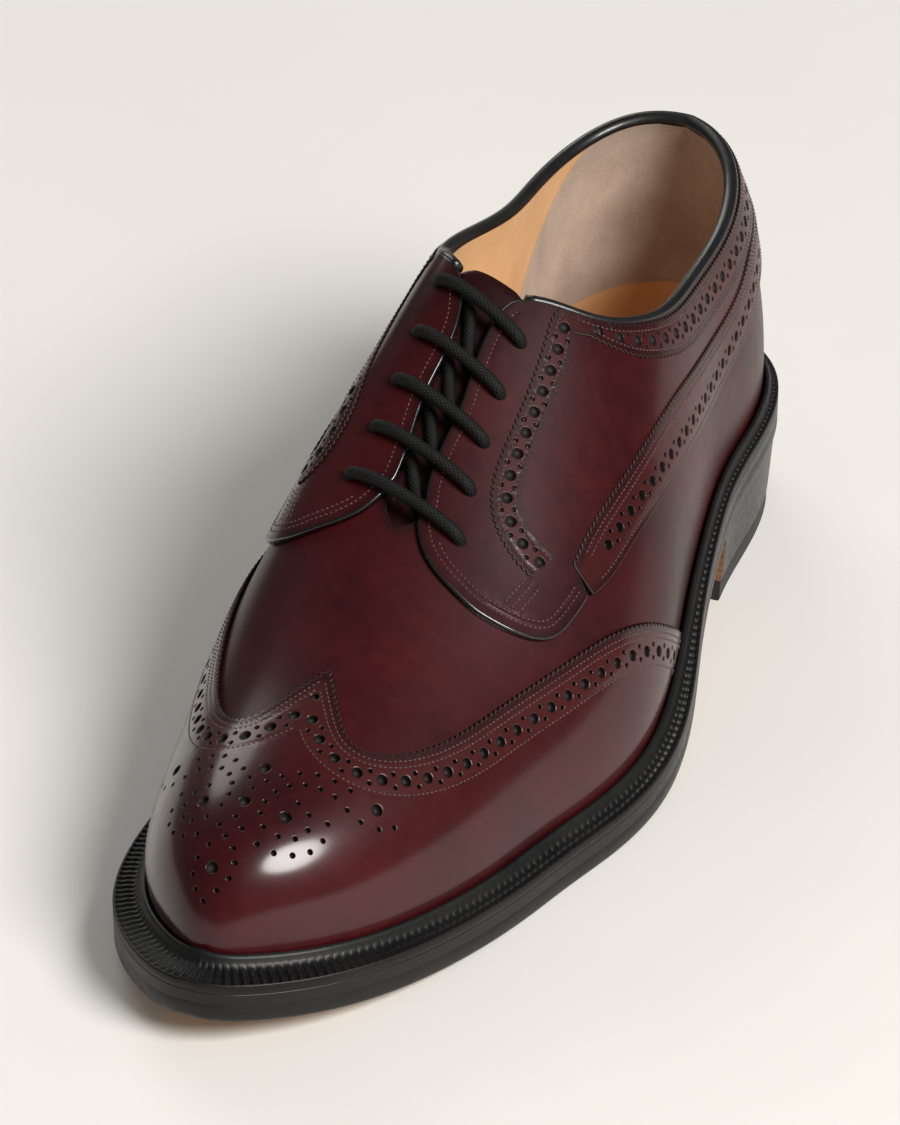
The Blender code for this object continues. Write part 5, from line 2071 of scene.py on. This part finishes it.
    def build_welt(self) -> None:
        """Storm welt: a bead against the upper, a trough, and ribs pressed across its rim."""
        last = self.last
        count = 8
        side, turn, run = self.perimeter(self.rib_pitch / count)
        whole = round((run[-1] + run[1]) / self.rib_pitch)
        wave = np.abs(np.sin(math.pi * run / (run[-1] + run[1]) * whole)) ** 0.55
        base, out = last.foot(side, turn), last.plan_normal(side, turn)
        floor = last.sole_top(turn) + 0.2
        width = last.welt_width(side, turn)
        share = [last.share_at_rise(side, turn, STORM_LIP * k) for k in (0.35, 0.7, 1.0)]
        swell = [np.sum((last.point(side, turn, s) - base) * out, axis=1) for s in share]
        lean = np.maximum(0.0, np.max(swell, axis=0))
        lip = lean + 0.55
        room = np.maximum(width + 0.5 - lip, 2.6)
        bead = np.minimum(2.0, 0.40 * room)
        start = lip + bead + 0.10 * room
        end = np.maximum(width, start + 0.9)
        mid = (start + end) / 2
        rows = [
            (lip * 0 + 0.1, 0.0, 0.0),
            (lean + 0.15, 2.6, 0.0),
            (lip - 0.15, 4.3, 0.0),
            (lip + 0.06 * bead, 4.9, 0.0),
            (lip + 0.30 * bead, STORM_LIP + 0.12, 0.0),
            (lip + 0.58 * bead, STORM_LIP + 0.02, 0.0),
            (lip + 0.84 * bead, 4.55, 0.0),
            (lip + bead, 3.75, 0.0),
            (start - 0.02 * room, 3.05, 0.10),
            (start + 0.08 * (end - start), 2.80, 0.7),
            (start * 0.7 + end * 0.3, 2.85, 1.0),
            (mid, 2.80, 1.0),
            (start * 0.4 + end * 0.6 - 0.3, 2.65, 1.0),
            (end - 0.95, 2.60, 0.9),
            (end - 0.62, 2.66, 0.2),
            (end - 0.25, 2.60, 0.0),
            (end, 2.25, 0.0),
            (end, 0.10, 0.0),
            (end - 0.08, 0.0, 0.0),
        ]
        rings = []
        for reach, height, ribbed in rows:
            point = base + out * np.broadcast_to(reach, run.shape)[:, None]
            point[:, 2] = floor + height - ribbed * self.rib_depth * (1 - wave)
            rings.append(point)
        rings = np.stack(rings, axis=1)
        item = make_mesh("ribbed_storm_welt", rings.reshape(-1, 3), loft(rings, True), [self.fin.welt])
        finish_piece(merge_and_turn(item, 0.004), "welt_leather", "welt")

    def build(self) -> None:
        """Build the whole bottom."""
        self.build_sole()
        self.build_heel()
        self.build_welt()


@dataclass
class Softbox:
    """A soft oval light: where it stands, where it points, its size and its power."""

    name: str
    place: tuple[float, float, float]
    target: tuple[float, float, float]
    size: tuple[float, float]
    power: float
    colour: Colour = (1.0, 0.985, 0.96)

    def build(self) -> None:
        """Add the light."""
        lamp = bpy.data.lights.new(self.name, "AREA")
        lamp.shape = "ELLIPSE"
        lamp.size, lamp.size_y = self.size
        lamp.energy = self.power
        lamp.color = self.colour
        item = bpy.data.objects.new(self.name, lamp)
        item.location = self.place
        aim = Vector(self.target) - Vector(self.place)
        item.rotation_euler = aim.to_track_quat("-Z", "Y").to_euler()
        bpy.context.scene.collection.objects.link(item)


@dataclass
class Studio:
    """Pale floor, soft lights and the camera at the photograph's angle."""

    eye: tuple[float, float, float] = (0.4078, -0.9797, 0.721)
    axis: tuple[float, float, float] = (-0.3746, 0.7818, -0.4985)
    photo_focus: float = 2400.0
    photo_size: tuple[float, float] = (900.0, 1125.0)
    frame_middle: tuple[float, float] = (536.0, 671.0)
    zoom: float = 2.12
    sensor: float = 36.0
    floor_colour: Colour = (0.76, 0.74, 0.705)
    room_light: dict[str, float] = field(
        default_factory=lambda: {"Is Camera Ray": 0.95, "Is Diffuse Ray": 0.30, "Is Glossy Ray": 0.07}
    )

    def build_floor(self) -> None:
        """Plain floor that runs on past the view."""
        deselect()
        bpy.ops.mesh.primitive_plane_add(size=9.0, location=(0.0, 0.0, 0.0))
        floor = bpy.context.object
        floor.name = "studio_floor"
        bpy.ops.object.mode_set(mode="EDIT")
        bpy.ops.mesh.select_all(action="SELECT")
        bpy.ops.mesh.inset(thickness=1.0)
        bpy.ops.mesh.subdivide(number_cuts=3)
        bpy.ops.object.mode_set(mode="OBJECT")
        g = Graph("studio_floor")
        place = g.object_place()
        mottle = g.noise(place, 9.0, 3.0)
        dust = g.noise(place, 900.0, 4.0, 0.7)
        dark = tuple(0.97 * c for c in self.floor_colour)
        g.set(Base_Color=g.blend(g.span(mottle, 0.3, 0.7, 0.0, 1.0), dark, self.floor_colour))
        g.set(Roughness=0.62, Normal=g.bump(dust, 0.0002, 0.15))
        floor.data.materials.append(g.material)

    def build_lights(self) -> None:
        """Softboxes and the room's own dim light."""
        boxes = [
            Softbox("key_softbox", (1.85, -0.72, 1.85), (0.0, -0.05, 0.03), (1.45, 1.2), 98.0),
            Softbox("fill_panel", (-1.5, 1.5, 1.3), (0.0, 0.0, 0.05), (1.6, 1.2), 14.0),
        ]
        for box in boxes:
            box.build()
        world = bpy.data.worlds.new("studio_room")
        bpy.context.scene.world = world
        world.use_nodes = True
        nodes, links = world.node_tree.nodes, world.node_tree.links
        ray = nodes.new("ShaderNodeLightPath")
        seen = nodes["Background"].outputs[0]
        nodes["Background"].inputs["Color"].default_value = (*self.floor_colour, 1.0)
        nodes["Background"].inputs["Strength"].default_value = self.room_light["Is Camera Ray"]
        for kind in ("Is Glossy Ray", "Is Diffuse Ray"):
            room, mix = nodes.new("ShaderNodeBackground"), nodes.new("ShaderNodeMixShader")
            room.inputs["Color"].default_value = (0.90, 0.89, 0.87, 1.0)
            room.inputs["Strength"].default_value = self.room_light[kind]
            links.new(ray.outputs[kind], mix.inputs[0])
            links.new(seen, mix.inputs[1])
            links.new(room.outputs[0], mix.inputs[2])
            seen = mix.outputs[0]
        links.new(seen, nodes["World Output"].inputs["Surface"])

    def build_camera(self) -> None:
        """Camera at the photograph's viewpoint, turned to the shoe and drawn closer by its lens."""
        axis = Vector(self.axis).normalized()
        right = axis.cross(Vector((0.0, 0.0, 1.0))).normalized()
        up = right.cross(axis)
        aside = (self.frame_middle[0] - self.photo_size[0] / 2) / self.photo_focus
        down = (self.frame_middle[1] - self.photo_size[1] / 2) / self.photo_focus
        aim = axis + right * aside - up * down
        data = bpy.data.cameras.new("camera")
        data.sensor_fit = "VERTICAL"
        data.sensor_height = self.sensor
        data.lens = self.sensor * self.photo_focus * self.zoom / self.photo_size[1]
        data.clip_start = 0.05
        camera = bpy.data.objects.new("camera", data)
        camera.location = self.eye
        camera.rotation_euler = aim.to_track_quat("-Z", "Y").to_euler()
        bpy.context.scene.collection.objects.link(camera)
        bpy.context.scene.camera = camera

    def build(self) -> None:
        """Build the whole studio, shown with plain photographic tones."""
        bpy.context.scene.view_settings.view_transform = "Standard"
        self.build_floor()
        self.build_lights()
        self.build_camera()


def main() -> None:
    """Load the frame, dress the shoe and set the studio."""
    logging.basicConfig(level=logging.INFO, format="%(message)s")
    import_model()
    deselect()
    last, finishes = Last(), Finishes()
    for assembly in (Uppers, Collar, Inside, Lacing, Bottom):
        assembly(last, finishes).build()
    Studio().build()


if __name__ == "__main__":
    main()
